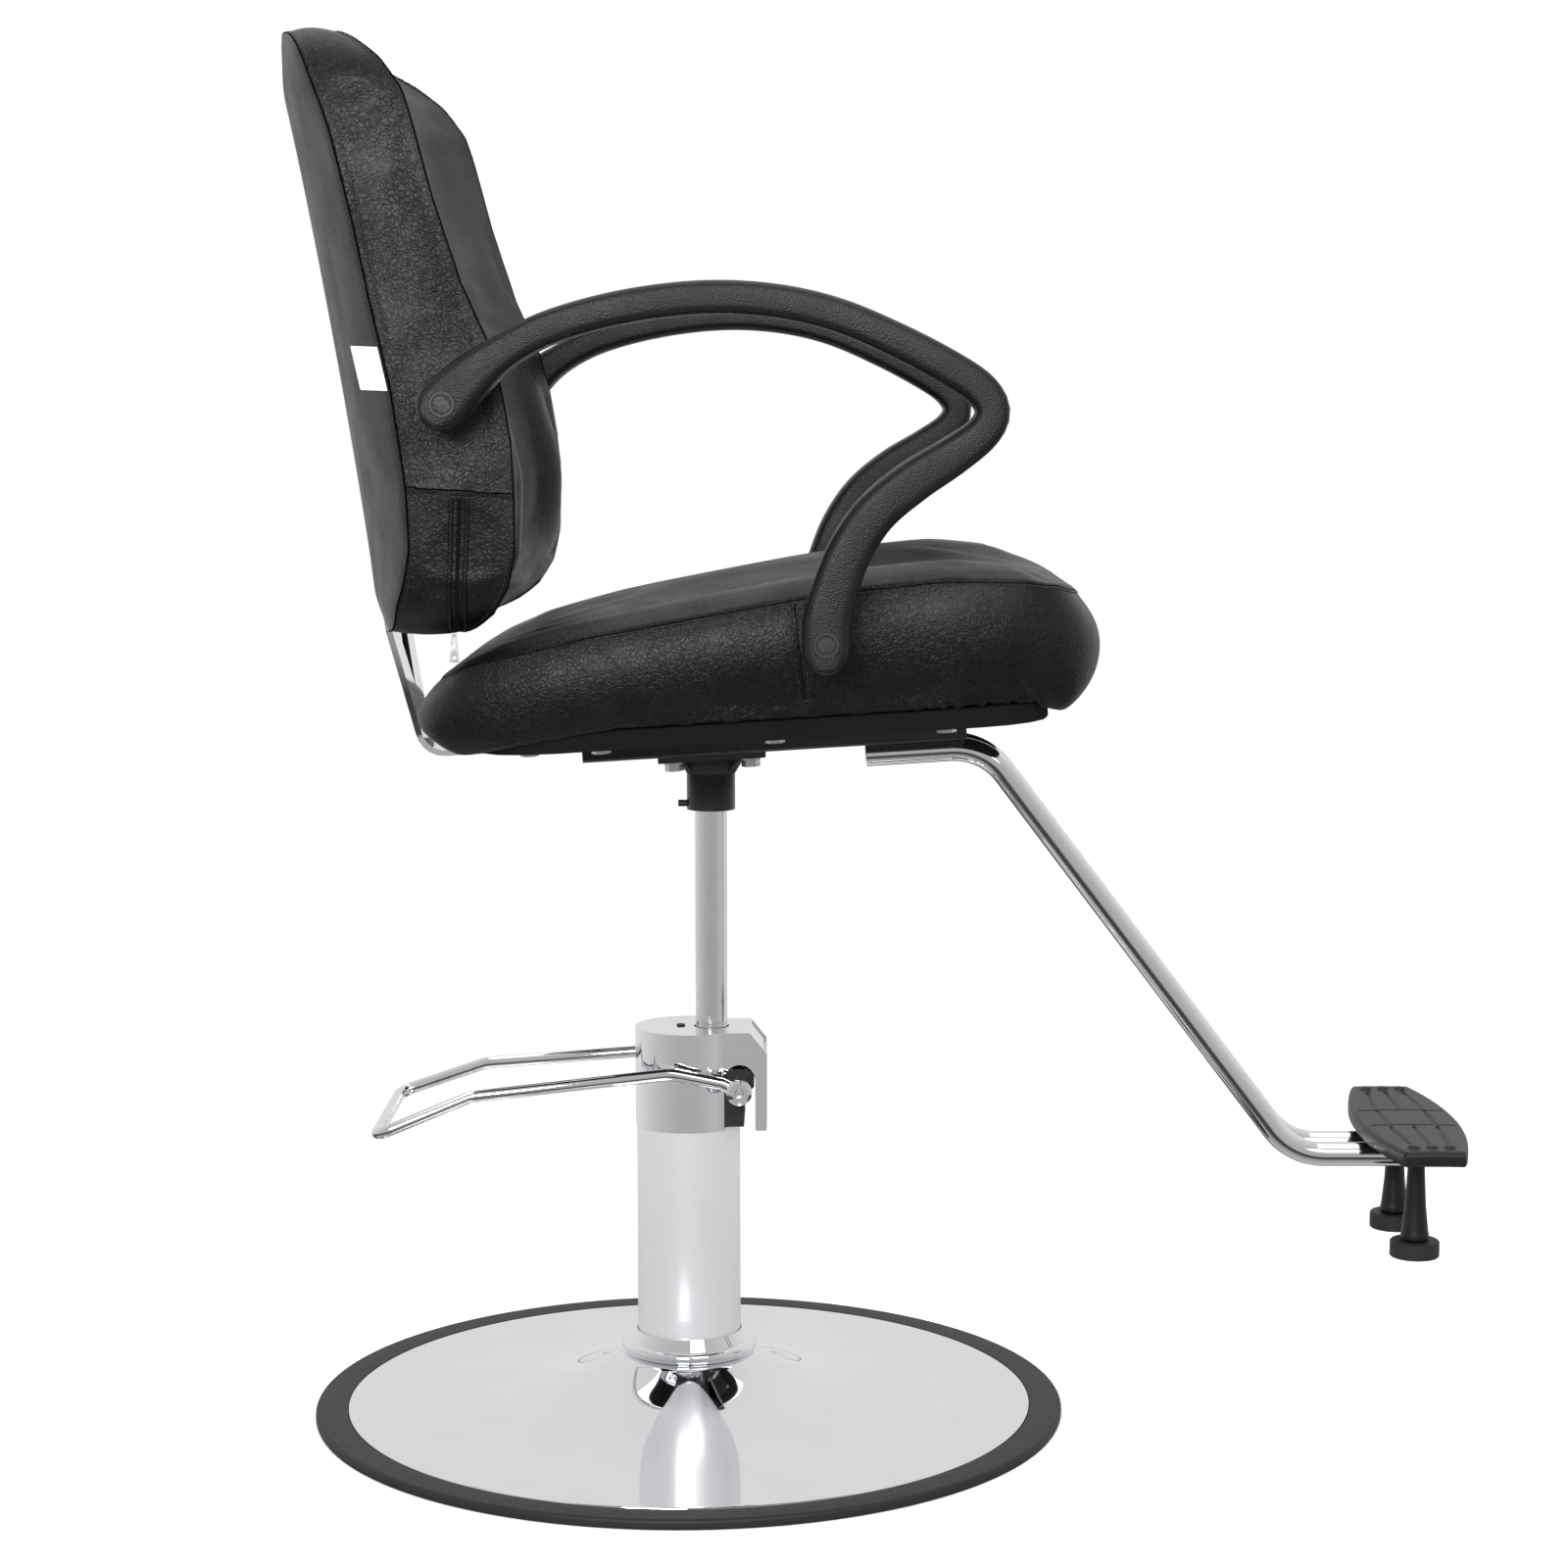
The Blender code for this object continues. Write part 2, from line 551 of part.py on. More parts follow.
def make_pedal(chrome, steel):
    """Pedal bar with an eye at each end, its shaft, two bolts and the pump finger."""
    empty = joint_empty("pedal_axis", (PIVOT_X, 0.0, PIVOT_Z))
    loop = add_object("pedal_loop", swept(pedal_path(), round_section(PEDAL_R, 8)), chrome)
    eye_in = PEDAL_HALF_NEAR - PEDAL_R
    eye_out = PEDAL_HALF_NEAR + PEDAL_R
    pieces = [loop]
    shaft_end = eye_in - CLEAR
    shaft = add_object("pedal_shaft", rod_mesh(SHAFT_R, (PIVOT_X, -shaft_end, PIVOT_Z),
                                               (PIVOT_X, shaft_end, PIVOT_Z)), steel)
    pieces.append(shaft)
    for side, sign in (("left", 1), ("right", -1)):
        boolean(loop, rod_mesh(PEDAL_EYE_R, (PIVOT_X, sign * (eye_in + 0.0002), PIVOT_Z),
                               (PIVOT_X, sign * (eye_out - 0.0002), PIVOT_Z), 20), "UNION")
        stub = [Vector((PIVOT_X + PEDAL_NECK[0] * part, sign * PEDAL_HALF_NEAR,
                        PIVOT_Z + PEDAL_NECK[1] * part)) for part in (0.44, 1.50)]
        boolean(loop, rod_mesh(PEDAL_R * 0.9, stub[0], stub[1], 10), "UNION")
        boolean(loop, rod_mesh(PEDAL_BOLT_R + FIT, (PIVOT_X, sign * (eye_in - 0.01), PIVOT_Z),
                               (PIVOT_X, sign * (eye_out + 0.01), PIVOT_Z)))
        boolean(shaft, rod_mesh(PEDAL_BOLT_R + FIT, (PIVOT_X, sign * (shaft_end - 0.014), PIVOT_Z),
                                (PIVOT_X, sign * (shaft_end + 0.01), PIVOT_Z)))
        face = eye_out + CLEAR
        profile = [(0.0, -0.021), (PEDAL_BOLT_R, -0.021), (PEDAL_BOLT_R, 0.0), (BOLT_HEAD_R, 0.0),
                   (BOLT_HEAD_R, 0.0030), (BOLT_HEAD_R - 0.0025, 0.0048), (0.0, 0.0048)]
        bolt_mesh = turned(profile, sides=24)
        turn = Matrix.Rotation(-sign * math.pi / 2, 4, "X")
        bolt_mesh.transform(Matrix.Translation((PIVOT_X, sign * face, PIVOT_Z)) @ turn)
        bolt = add_object("pedal_bolt_" + side, bolt_mesh, chrome)
        socket = plate_mesh(hex_outline(0.0060), 0.0022, 0.0080)
        socket.transform(Matrix.Translation((PIVOT_X, sign * face, PIVOT_Z)) @ turn)
        boolean(bolt, socket)
        pieces.append(bolt)
    tip = PIVOT_X - FINGER_REACH - 0.004
    finger = add_object("pump_finger", plate_mesh(
        [(PIVOT_X + 0.009, PIVOT_Z - 0.006), (PIVOT_X + 0.009, PIVOT_Z + 0.006),
         (PIVOT_X - 0.006, PIVOT_Z + 0.009), (tip, PIVOT_Z + 0.003), (tip, PIVOT_Z - 0.003),
         (PIVOT_X - 0.020, PIVOT_Z - 0.003), (PIVOT_X - 0.006, PIVOT_Z - 0.009)],
        FINGER_Y - 0.003, FINGER_Y + 0.003, "XZ"), steel)
    boolean(finger, rod_mesh(SHAFT_R + FIT, (PIVOT_X, 0.0, PIVOT_Z), (PIVOT_X, 0.05, PIVOT_Z)))
    pieces.append(finger)
    ride(empty, *pieces)


def make_plunger(steel, spring_steel):
    """Pump plunger under the finger, and the spring that lifts pedal and plunger."""
    place = (PIVOT_X - FINGER_REACH, FINGER_Y)
    top = PIVOT_Z - 0.003 - CLEAR
    collar_low = top - 0.003
    head_r = spring_coil_r() + SPRING_WIRE_R
    empty = joint_empty("plunger_axis", (place[0], place[1], top))
    foot = PUMP_TOP - PLUNGER_DEPTH
    plunger = add_object("pump_plunger", turned(
        [(0.0, foot), (PLUNGER_R, foot), (PLUNGER_R, collar_low), (head_r, collar_low),
         (head_r, top), (0.0, top)], place, SMALL), steel)
    ride(empty, plunger)
    low = PUMP_TOP - SPRING_WELL + CLEAR + SPRING_WIRE_R
    high = collar_low - CLEAR - SPRING_WIRE_R
    count = SPRING_TURNS * 12
    path = []
    for step in range(count + 1):
        angle = math.tau * step / 12
        path.append(Vector((place[0] + spring_coil_r() * math.cos(angle),
                            place[1] + spring_coil_r() * math.sin(angle),
                            low + (high - low) * step / count)))
    add_object("plunger_spring", swept(path, round_section(SPRING_WIRE_R, 5)), spring_steel)


# ---------------------------------------------------------------- ram and hub

def make_ram(chrome, rubber):
    """Chrome ram that lifts the seat, and the seal ring on its foot."""
    empty = joint_empty("lift_axis", (POST_X, 0.0, POST_TOP))
    low = CYLINDER_FLOOR + RAM_SPARE + LIFT_TRAVEL
    neck = 0.0085
    ram = add_object("ram", turned(
        [(0.0, low), (POST_R, low), (POST_R, low + 0.004), (POST_R - 0.003, low + 0.004),
         (POST_R - 0.003, low + 0.004 + neck), (POST_R, low + 0.004 + neck),
         (POST_R, POST_TOP - 0.002), (POST_R - 0.002, POST_TOP), (0.0, POST_TOP)],
        (POST_X, 0.0), 28), chrome)
    seal_low = low + 0.004 + CLEAR
    seal = add_object("ram_seal", turned(
        ring_profile(POST_R - 0.003 + CLEAR, CYLINDER_BORE_R - FIT, seal_low,
                     seal_low + neck - 2 * CLEAR), (POST_X, 0.0), 24, closed=True), rubber)
    ride(empty, ram, seal)


def hex_bolt(name, place, grip, zinc):
    """Hex bolt driven upwards in the seat's frame, with a washer face on its head."""
    head = plate_mesh(hex_outline(BOLT_HEX), -0.0015 - BOLT_HEX_HIGH, -0.0014)
    bolt = add_object(name, in_seat_at(head, place), zinc)
    washer = turned([(0.0, -0.0016), (0.0080, -0.0016), (0.0080, 0.0), (BOLT_R, 0.0),
                     (BOLT_R, grip), (0.0, grip)], sides=SMALL)
    boolean(bolt, in_seat_at(washer, place), "UNION")
    return bolt


def in_seat_at(mesh_data, place):
    """Shift a mesh in the seat's frame, then put it in the world."""
    mesh_data.transform(Matrix.Translation(place))
    return in_seat(mesh_data)


def bolt_hole(target, place, low, high):
    """Clearance hole for a seat bolt between two heights of the seat's frame."""
    hole = BOLT_R + FIT
    boolean(target, in_seat_at(turned([(0.0, low), (hole, low), (hole, high), (0.0, high)],
                                      sides=SMALL), place))


def plate_bolt_places():
    """Centres of the hub plate's four bolts in the seat's frame."""
    half = PLATE_BOLT_SPACING / 2
    return [(x, y) for x in (-half, half) for y in (-half, half)]


def make_hub(black_steel, zinc):
    """Socket on the ram, its ribbed neck and square plate, the lock screw and plate bolts."""
    plate_top = -PAN_DEPTH - CLEAR
    plate_low = plate_top - HUB_PLATE_THICK
    half = HUB_PLATE / 2
    hub = add_object("seat_hub", in_seat(plate_mesh(
        box_outline(-half, half, -half, half), plate_low, plate_top)), black_steel)
    weld_z = BOARD_Z + plate_low - 0.0002
    reach = 0.0030
    boolean(hub, turned([(0.0, HUB_BOTTOM), (HUB_R, HUB_BOTTOM), (HUB_R, weld_z - 0.014),
                         (HUB_R + 0.0012, weld_z - 0.012), (HUB_R + 0.0075, weld_z - 0.002),
                         (HUB_R + 0.0075, weld_z + reach), (0.0, weld_z + reach)],
                        (POST_X, 0.0), 32), "UNION")
    for rib in range(4):
        angle = math.tau * rib / 4 + math.pi / 4
        outline = [(HUB_R - 0.004, weld_z - 0.016), (HUB_R + RIB_REACH, weld_z - 0.003),
                   (HUB_R + RIB_REACH, weld_z + reach), (HUB_R - 0.004, weld_z + reach)]
        web = plate_mesh(outline, -0.0015, 0.0015, "XZ")
        web.transform(Matrix.Translation((POST_X, 0.0, 0.0)) @ Matrix.Rotation(angle, 4, "Z"))
        boolean(hub, web, "UNION")
    bore = POST_R + FIT
    boolean(hub, turned([(0.0, HUB_BOTTOM - 0.01), (bore, HUB_BOTTOM - 0.01),
                         (bore, POST_TOP + 0.001), (0.0, POST_TOP + 0.001)], (POST_X, 0.0), 28))
    screw_z = HUB_BOTTOM + 0.0045
    inside = POST_X - POST_R - FIT
    outside = POST_X - HUB_R - 0.0068
    boolean(hub, rod_mesh(0.0027 + FIT, (inside + 0.001, 0.0, screw_z), (outside, 0.0, screw_z)))
    pieces = [hub]
    pieces.append(add_object("hub_lock_screw", rod_mesh(
        0.0027, (inside - 0.0002, 0.0, screw_z), (outside, 0.0, screw_z), 12), black_steel))
    for index, (x, y) in enumerate(plate_bolt_places()):
        bolt_hole(hub, (x, y, 0.0), plate_low - 0.01, plate_top + 0.01)
        pieces.append(hex_bolt("plate_bolt_" + str(index + 1), (x, y, plate_low - CLEAR), 0.014, zinc))
    return pieces


# ---------------------------------------------------------------- seat

def pan_section():
    """Section of the pan across the seat: a web, two walls and two flanges."""
    top = -CLEAR
    steel = PAN_STEEL
    wall = PAN_HALF_WEB
    edge = PAN_HALF_FLANGE
    half = [(0.0, -PAN_DEPTH), (wall - 0.002, -PAN_DEPTH), (wall, -PAN_DEPTH + 0.002),
            (wall, top - steel), (edge, top - steel), (edge, top), (wall - steel, top),
            (wall - steel, -PAN_DEPTH + steel), (0.0, -PAN_DEPTH + steel)]
    mirrored = [(-y, h) for y, h in reversed(half[1:-1])]
    return half + mirrored


def make_pan(black_steel, zinc):
    """Folded steel pan under the board, and the bolts that hold the board to it."""
    rings = [[(x, y, h) for y, h in pan_section()] for x in (PAN_REAR, PAN_FRONT)]
    pan = add_object("seat_pan", in_seat(skin(rings)), black_steel)
    pieces = [pan]
    for x, y in plate_bolt_places():
        bolt_hole(pan, (x, y, 0.0), -PAN_DEPTH - 0.005, -PAN_DEPTH + 0.008)
    for side, sign in (("left", 1), ("right", -1)):
        for row, x in enumerate(PAN_BOLT_ROWS):
            place = (x, sign * PAN_BOLT_Y, -PAN_STEEL - 2 * CLEAR)
            bolt_hole(pan, (x, sign * PAN_BOLT_Y, 0.0), -0.008, 0.004)
            pieces.append(hex_bolt("pan_bolt_" + side + "_" + str(row + 1), place, 0.011, zinc))
    return pieces


def board_outline():
    """Plan of the seat board, with rounded corners."""
    half = BOARD_HALF_WIDTH
    points = []
    for (x, y, radius, start) in ((BOARD_REAR, -half, 0.06, 180), (BOARD_FRONT, -half, 0.05, 270),
                                  (BOARD_FRONT, half, 0.05, 0), (BOARD_REAR, half, 0.06, 90)):
        centre_x = x + radius if x == BOARD_REAR else x - radius
        centre_y = y + radius if y < 0 else y - radius
        for step in range(5):
            angle = math.radians(start + 90 * step / 4)
            points.append((centre_x + radius * math.cos(angle), centre_y + radius * math.sin(angle)))
    return points


def make_board(wood):
    """Plywood seat board with holes for the pan bolts."""
    board = add_object("seat_board", in_seat(plate_mesh(board_outline(), 0.0, BOARD_THICK)), wood)
    for sign in (-1, 1):
        for x in PAN_BOLT_ROWS:
            bolt_hole(board, (x, sign * PAN_BOLT_Y, 0.0), -0.004, 0.0095)
    for x in BRACKET_BOLTS:
        bolt_hole(board, (x, 0.0, 0.0), -0.004, 0.0095)
    return [board]


def seat_profile():
    """Side outline of the seat cushion in the seat's frame: flat bottom, crowned top."""
    low = BOARD_THICK + CLEAR
    return [(SEAT_REAR + 0.014, low), (SEAT_REAR, 0.034), (SEAT_REAR + 0.004, 0.048),
            (SEAT_REAR + 0.020, 0.064), (-0.115, 0.086), (-0.035, 0.103), (0.060, 0.118),
            (0.150, 0.124), (0.215, 0.118), (0.262, 0.096), (SEAT_FRONT - 0.008, 0.062),
            (SEAT_FRONT, 0.036), (SEAT_FRONT - 0.012, low)]


def make_seat_cushion(leather):
    """Seat cushion: one closed pad, rounded at both sides and dished in the middle."""
    low = BOARD_THICK + CLEAR
    stations = [(-1.0, 0.80, 0.0), (-0.97, 0.93, 0.0), (-0.86, 1.0, 0.0), (-0.5, 0.98, 0.006),
                (0.0, 0.97, 0.012)]
    stations += [(-y, scale, dish) for y, scale, dish in reversed(stations[:-1])]
    middle = (SEAT_REAR + SEAT_FRONT) / 2
    rings = []
    for side, scale, dish in stations:
        ends = 0.985 if abs(side) > 0.9 else 1.0
        ring = []
        for x, h in seat_profile():
            height = low + (h - low) * scale - dish * (h - low) / 0.109
            ring.append((middle + (x - middle) * ends, side * SEAT_HALF_WIDTH, height))
        rings.append(ring)
    return [add_object("seat_cushion", in_seat(skin(rings)), leather)]


# ---------------------------------------------------------------- back

def back_rear(height):
    """X of the back's rear middle line at a height."""
    share = (height - BACK_BOTTOM) / (BACK_TOP - BACK_BOTTOM)
    return -0.236 - 0.068 * share - 0.010 * share ** 3


def back_depth(height):
    """Thickness of the back, panel included, at a height."""
    share = (height - BACK_BOTTOM) / (BACK_TOP - BACK_BOTTOM)
    return 0.104 - 0.030 * share - 0.018 * share ** 2


def wrap(side):
    """How far the back comes forward at a share of its half width."""
    return BACK_WRAP * side * side


def back_rings(near, far, sides, heights):
    """Closed slices of the back across its width, between a near and a far face."""
    rings = []
    for side in sides:
        y = side * BACK_HALF_WIDTH
        ring = [(near(height) + wrap(side), y, height) for height in heights]
        ring += [(far(height, side) + wrap(side), y, height) for height in reversed(heights)]
        rings.append(ring)
    return rings


def make_back(leather, panel):
    """Rear panel on its curved board, and the padded front of the back."""
    inner = [-0.965, -0.75, -0.5, -0.25, 0.0, 0.25, 0.5, 0.75, 0.965]
    steps = 10
    low = BACK_BOTTOM + 0.004
    high = BACK_TOP - 0.008
    heights = [low + (high - low) * step / steps for step in range(steps + 1)]
    rear = skin(back_rings(back_rear, lambda z, side: back_rear(z) + BACK_PANEL_THICK, inner, heights))
    rear_panel = add_object("back_panel", rear, panel)
    rest = BACK_PANEL_THICK + CLEAR

    def front(height, side):
        share = (height - low) / (high - low)
        nose = min(1.0, 0.62 + 3.0 * min(share, 1.0 - share))
        depth = back_depth(height) * (0.86 if abs(side) == 1.0 else 1.0)
        return back_rear(height) + rest + (depth - rest) * nose

    pad = skin(back_rings(lambda z: back_rear(z) + rest, front, [-1.0] + inner + [1.0], heights))
    cushion = add_object("back_cushion", pad, leather)
    return [rear_panel, cushion]


def bracket_line(height):
    """X of the bracket's middle plane inside the back, at a height."""
    return back_rear(height) + BRACKET_SINK


def make_bracket(panel, chrome, zinc, black_steel):
    """Flat steel J bracket under the seat and up inside the back, its packer and two bolts."""
    seat = seat_matrix()
    level = -BRACKET_DROP
    low_back = Vector((bracket_line(BACK_BOTTOM), 0.0, BACK_BOTTOM))
    high_back = Vector((bracket_line(BRACKET_TOP), 0.0, BRACKET_TOP))
    run = [seat @ Vector((x, 0.0, level)) for x in (BRACKET_FRONT, BRACKET_BEND)]
    path = rounded_path(run + [low_back, high_back], [0.020, 0.060], steps=5)
    rise = [min(1.0, max(0.0, (point.z - BRACKET_SPLAY_Z) / (BACK_BOTTOM - BRACKET_SPLAY_Z)))
            for point in path]
    thick = BRACKET_THICK / 2

    def section(index):
        half = (BRACKET_FOOT_WIDTH + (BRACKET_TOP_WIDTH - BRACKET_FOOT_WIDTH) * rise[index]) / 2
        return [(-thick, -half), (thick, -half), (thick, half), (-thick, half)]

    bracket = add_object("back_bracket", swept(path, section), chrome)
    notch = [(-0.0005, BRACKET_SPLAY_Z + 0.015), (0.0005, BRACKET_SPLAY_Z + 0.015),
             (0.024, BACK_BOTTOM), (0.024, BRACKET_TOP + 0.02), (-0.024, BRACKET_TOP + 0.02),
             (-0.024, BACK_BOTTOM)]
    boolean(bracket, plate_mesh(notch, -0.30, -0.15, "YZ"))
    lean = (high_back - low_back).normalized()
    slot_half = BRACKET_TOP_WIDTH / 2 + CLEAR * 3
    slot_deep = thick + CLEAR * 2
    slot = [(-slot_deep, -slot_half), (slot_deep, -slot_half), (slot_deep, slot_half),
            (-slot_deep, slot_half)]
    boolean(panel, swept([low_back - lean * 0.02, high_back + lean * 0.003], lambda index: slot))
    packer_top = -CLEAR
    packer_low = level + thick + CLEAR
    packer = add_object("bracket_packer", in_seat(plate_mesh(
        box_outline(BRACKET_BEND + 0.040, BRACKET_FRONT - 0.002, -0.024, 0.024),
        packer_low, packer_top)), black_steel)
    pieces = [bracket, packer]
    for index, x in enumerate(BRACKET_BOLTS):
        place = (x, 0.0, level - thick - CLEAR)
        bolt_hole(bracket, (x, 0.0, 0.0), level - 0.01, level + 0.01)
        bolt_hole(packer, (x, 0.0, 0.0), packer_low - 0.01, packer_top + 0.01)
        pieces.append(hex_bolt("bracket_bolt_" + str(index + 1), place, 0.024, zinc))
    return pieces


def make_zip_pull(zinc):
    """Metal pull tab that hangs from the zip at the back's lower right corner."""
    low = BACK_BOTTOM - 0.0115
    high = BACK_BOTTOM + 0.0030
    outline = [(-0.1645, low), (-0.1575, low), (-0.1590, high), (-0.1630, high)]
    y = 0.018 - BACK_HALF_WIDTH
    pull = add_object("zip_pull", plate_mesh(outline, y - 0.0006, y + 0.0006, "XZ"), zinc)
    return [pull]


# ---------------------------------------------------------------- arms

def arm_stations():
    """Centre line of an arm in XZ, and half its width there: rear end, over the top, front end."""
    return [(-0.1735, 0.7925, 0.0085), (-0.1680, 0.7985, 0.0160), (-0.1570, 0.8100, 0.0190),
            (-0.1440, 0.8230, 0.0165),
            (-0.1190, 0.8425, 0.0125), (-0.0850, 0.8600, 0.0118), (-0.0350, 0.8735, 0.0118),
            (0.0200, 0.8802, 0.0118), (0.0700, 0.8780, 0.0118), (0.1150, 0.8680, 0.0118),
            (0.1600, 0.8490, 0.0120), (0.1960, 0.8300, 0.0122), (0.2160, 0.8160, 0.0122),
            (0.2240, 0.8010, 0.0120), (0.2170, 0.7860, 0.0124), (0.1960, 0.7700, 0.0138),
            (0.1680, 0.7520, 0.0150), (0.1420, 0.7300, 0.0152), (0.1240, 0.7030, 0.0158),
            (0.1130, 0.6740, 0.0166), (0.1080, 0.6540, 0.0172), (0.1075, 0.6300, 0.0168),
            (0.1075, 0.6215, 0.0090)]


def make_arm(side, sign, black_foam, plastic):
    """One moulded arm and the two plugs that cover its bolts."""
    middle = sign * (ARM_INNER_Y + ARM_THICK / 2)
    path = [Vector((x, middle, z)) for x, z, half in arm_stations()]
    halves = [half for x, z, half in arm_stations()]
    deep = ARM_THICK / 2

    def section(index):
        half = halves[index]
        soft = 0.0065
        return [(-half, -deep + soft), (-half + soft, -deep), (half - soft, -deep),
                (half, -deep + soft), (half, deep - soft), (half - soft, deep),
                (-half + soft, deep), (-half, deep - soft)]

    arm = add_object("arm_" + side, swept(path, section), black_foam)
    pieces = [arm]
    outer = ARM_INNER_Y + ARM_THICK
    for end, (x, z) in (("rear", ARM_REAR_BOLT), ("front", ARM_FRONT_BOLT)):
        floor = outer - PLUG_THICK - CLEAR
        boolean(arm, rod_mesh(PLUG_R + FIT, (x, sign * floor, z), (x, sign * (outer + 0.01), z)))
        boolean(arm, rod_mesh(0.0050, (x, sign * (ARM_INNER_Y - 0.01), z), (x, sign * outer, z)))
        pieces.append(add_object("arm_plug_" + side + "_" + end, rod_mesh(
            PLUG_R, (x, sign * (floor + CLEAR), z), (x, sign * (outer + 0.0006), z)), plastic))
    return pieces


# ---------------------------------------------------------------- footrest

def tube_path(sign):
    """Centre line of one footrest tube."""
    run = seat_matrix() @ Vector((TUBE_REAR - POST_X, sign * TUBE_HALF_SPACING,
                                  -PAN_DEPTH - CLEAR * 2 - TUBE_R))
    slope = math.tan(SEAT_TILT)
    bend_z = run.z + (TUBE_BEND_X - run.x) * slope
    y = sign * TUBE_HALF_SPACING
    corners = [tuple(run), (TUBE_BEND_X, y, bend_z), (TUBE_LOW_BEND[0], y, TUBE_LOW_BEND[1]),
               (TUBE_FRONT, y, TUBE_LOW_BEND[1])]
    return rounded_path(corners, [FOOT_BEND_R, FOOT_BEND_R], steps=6)


def pad_outline():
    """Plan of the foot pad: a barrel, narrower at its ends."""
    half = PAD_LENGTH / 2
    points = []
    steps = 8
    for step in range(steps + 1):
        share = -1.0 + 2.0 * step / steps
        wide = PAD_HALF_MIDDLE - (PAD_HALF_MIDDLE - PAD_HALF_END) * share * share
        points.append((PAD_CENTRE_X + wide, share * half))
    return points + [(2 * PAD_CENTRE_X - x, y) for x, y in reversed(points)]


def make_footrest(chrome, plastic, black_steel, rubber):
    """Two bent tubes, the plate on them, the moulded pad, two legs and their feet."""
    pieces = []
    for side, sign in (("left", 1), ("right", -1)):
        pieces.append(add_object("footrest_tube_" + side, swept_tube(
            tube_path(sign), TUBE_R, TUBE_WALL, 12), chrome))
    plate_low = TUBE_LOW_BEND[1] + TUBE_R + CLEAR
    plate_top = plate_low + FOOT_PLATE_THICK
    half = LEG_HALF_SPACING + 0.012
    pieces.append(add_object("footrest_plate", plate_mesh(
        box_outline(PAD_CENTRE_X - 0.022, PAD_CENTRE_X + 0.022, -half, half),
        plate_low, plate_top), black_steel))
    pad = plate_mesh(pad_outline(), plate_top + CLEAR, plate_top + CLEAR + PAD_THICK)
    pieces.append(add_object("footrest_pad", pad, plastic))
    leg_top = plate_low - CLEAR
    leg_low = leg_top - LEG_LENGTH - TUBE_R * 2
    for side, sign in (("left", 1), ("right", -1)):
        place = (PAD_CENTRE_X, sign * LEG_HALF_SPACING)
        pieces.append(add_object("footrest_leg_" + side, turned(
            [(0.0, leg_low), (LEG_BOTTOM_R, leg_low), (LEG_BOTTOM_R * 0.93, leg_low + 0.008),
             (LEG_TOP_R, leg_top - 0.010), (LEG_TOP_R, leg_top), (0.0, leg_top)],
            place, SMALL), plastic))
        foot_top = leg_low - CLEAR
        pieces.append(add_object("footrest_foot_" + side, turned(
            [(0.0, foot_top - FOOT_HEIGHT), (FOOT_R - 0.002, foot_top - FOOT_HEIGHT),
             (FOOT_R, foot_top - FOOT_HEIGHT + 0.002), (FOOT_R, foot_top - 0.0015),
             (FOOT_R - 0.0015, foot_top), (0.0, foot_top)], place, 20), rubber))
    return pieces


# ---------------------------------------------------------------- assembly

def build():
    """Make every piece of the chair."""
    clear_scene()
    chrome = finish("chrome", (0.82, 0.82, 0.84), 0.08, 1.0)
    satin = finish("satin_steel", (0.70, 0.70, 0.71), 0.32, 1.0)
    steel = finish("bright_steel", (0.55, 0.55, 0.56), 0.35, 1.0)
    zinc = finish("zinc", (0.62, 0.63, 0.64), 0.35, 1.0)
    black_steel = finish("black_enamel", (0.012, 0.012, 0.012), 0.38, 0.0)
    black_iron = finish("black_iron", (0.015, 0.015, 0.016), 0.50, 0.3)
    rubber = finish("rubber", (0.030, 0.031, 0.033), 0.65, 0.0)
    plastic = finish("black_plastic", (0.020, 0.020, 0.021), 0.50, 0.0)
    black_foam = finish("arm_skin", (0.012, 0.012, 0.012), 0.55, 0.0)
    leather = finish("leatherette", (0.010, 0.010, 0.010), 0.42, 0.0)
    wood = finish("board_cloth", (0.014, 0.014, 0.014), 0.95, 0.0)

    make_base(chrome, steel, rubber, zinc)
    make_pump(satin, black_iron, steel)
    make_cap(chrome, plastic)
    make_pedal(chrome, steel)
    make_plunger(steel, steel)
    make_ram(chrome, rubber)

    swivel = joint_empty("swivel_axis", (POST_X, 0.0, POST_TOP))
    pieces = make_hub(black_steel, zinc)
    pieces += make_pan(black_steel, zinc)
    pieces += make_board(wood)
    pieces += make_seat_cushion(leather)
    back = make_back(leather, leather)
    pieces += back
    pieces += make_bracket(back[0], chrome, zinc, black_steel)
    pieces += make_zip_pull(zinc)
    for side, sign in (("left", 1), ("right", -1)):
        pieces += make_arm(side, sign, black_foam, plastic)
    pieces += make_footrest(chrome, plastic, black_steel, rubber)
    ride(swivel, *pieces)


build()
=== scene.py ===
"""Looks of the hydraulic styling chair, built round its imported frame."""
import math

import bmesh
import bpy
import numpy as np
from mathutils import Matrix, Vector
from mathutils.bvhtree import BVHTree
from mathutils.kdtree import KDTree


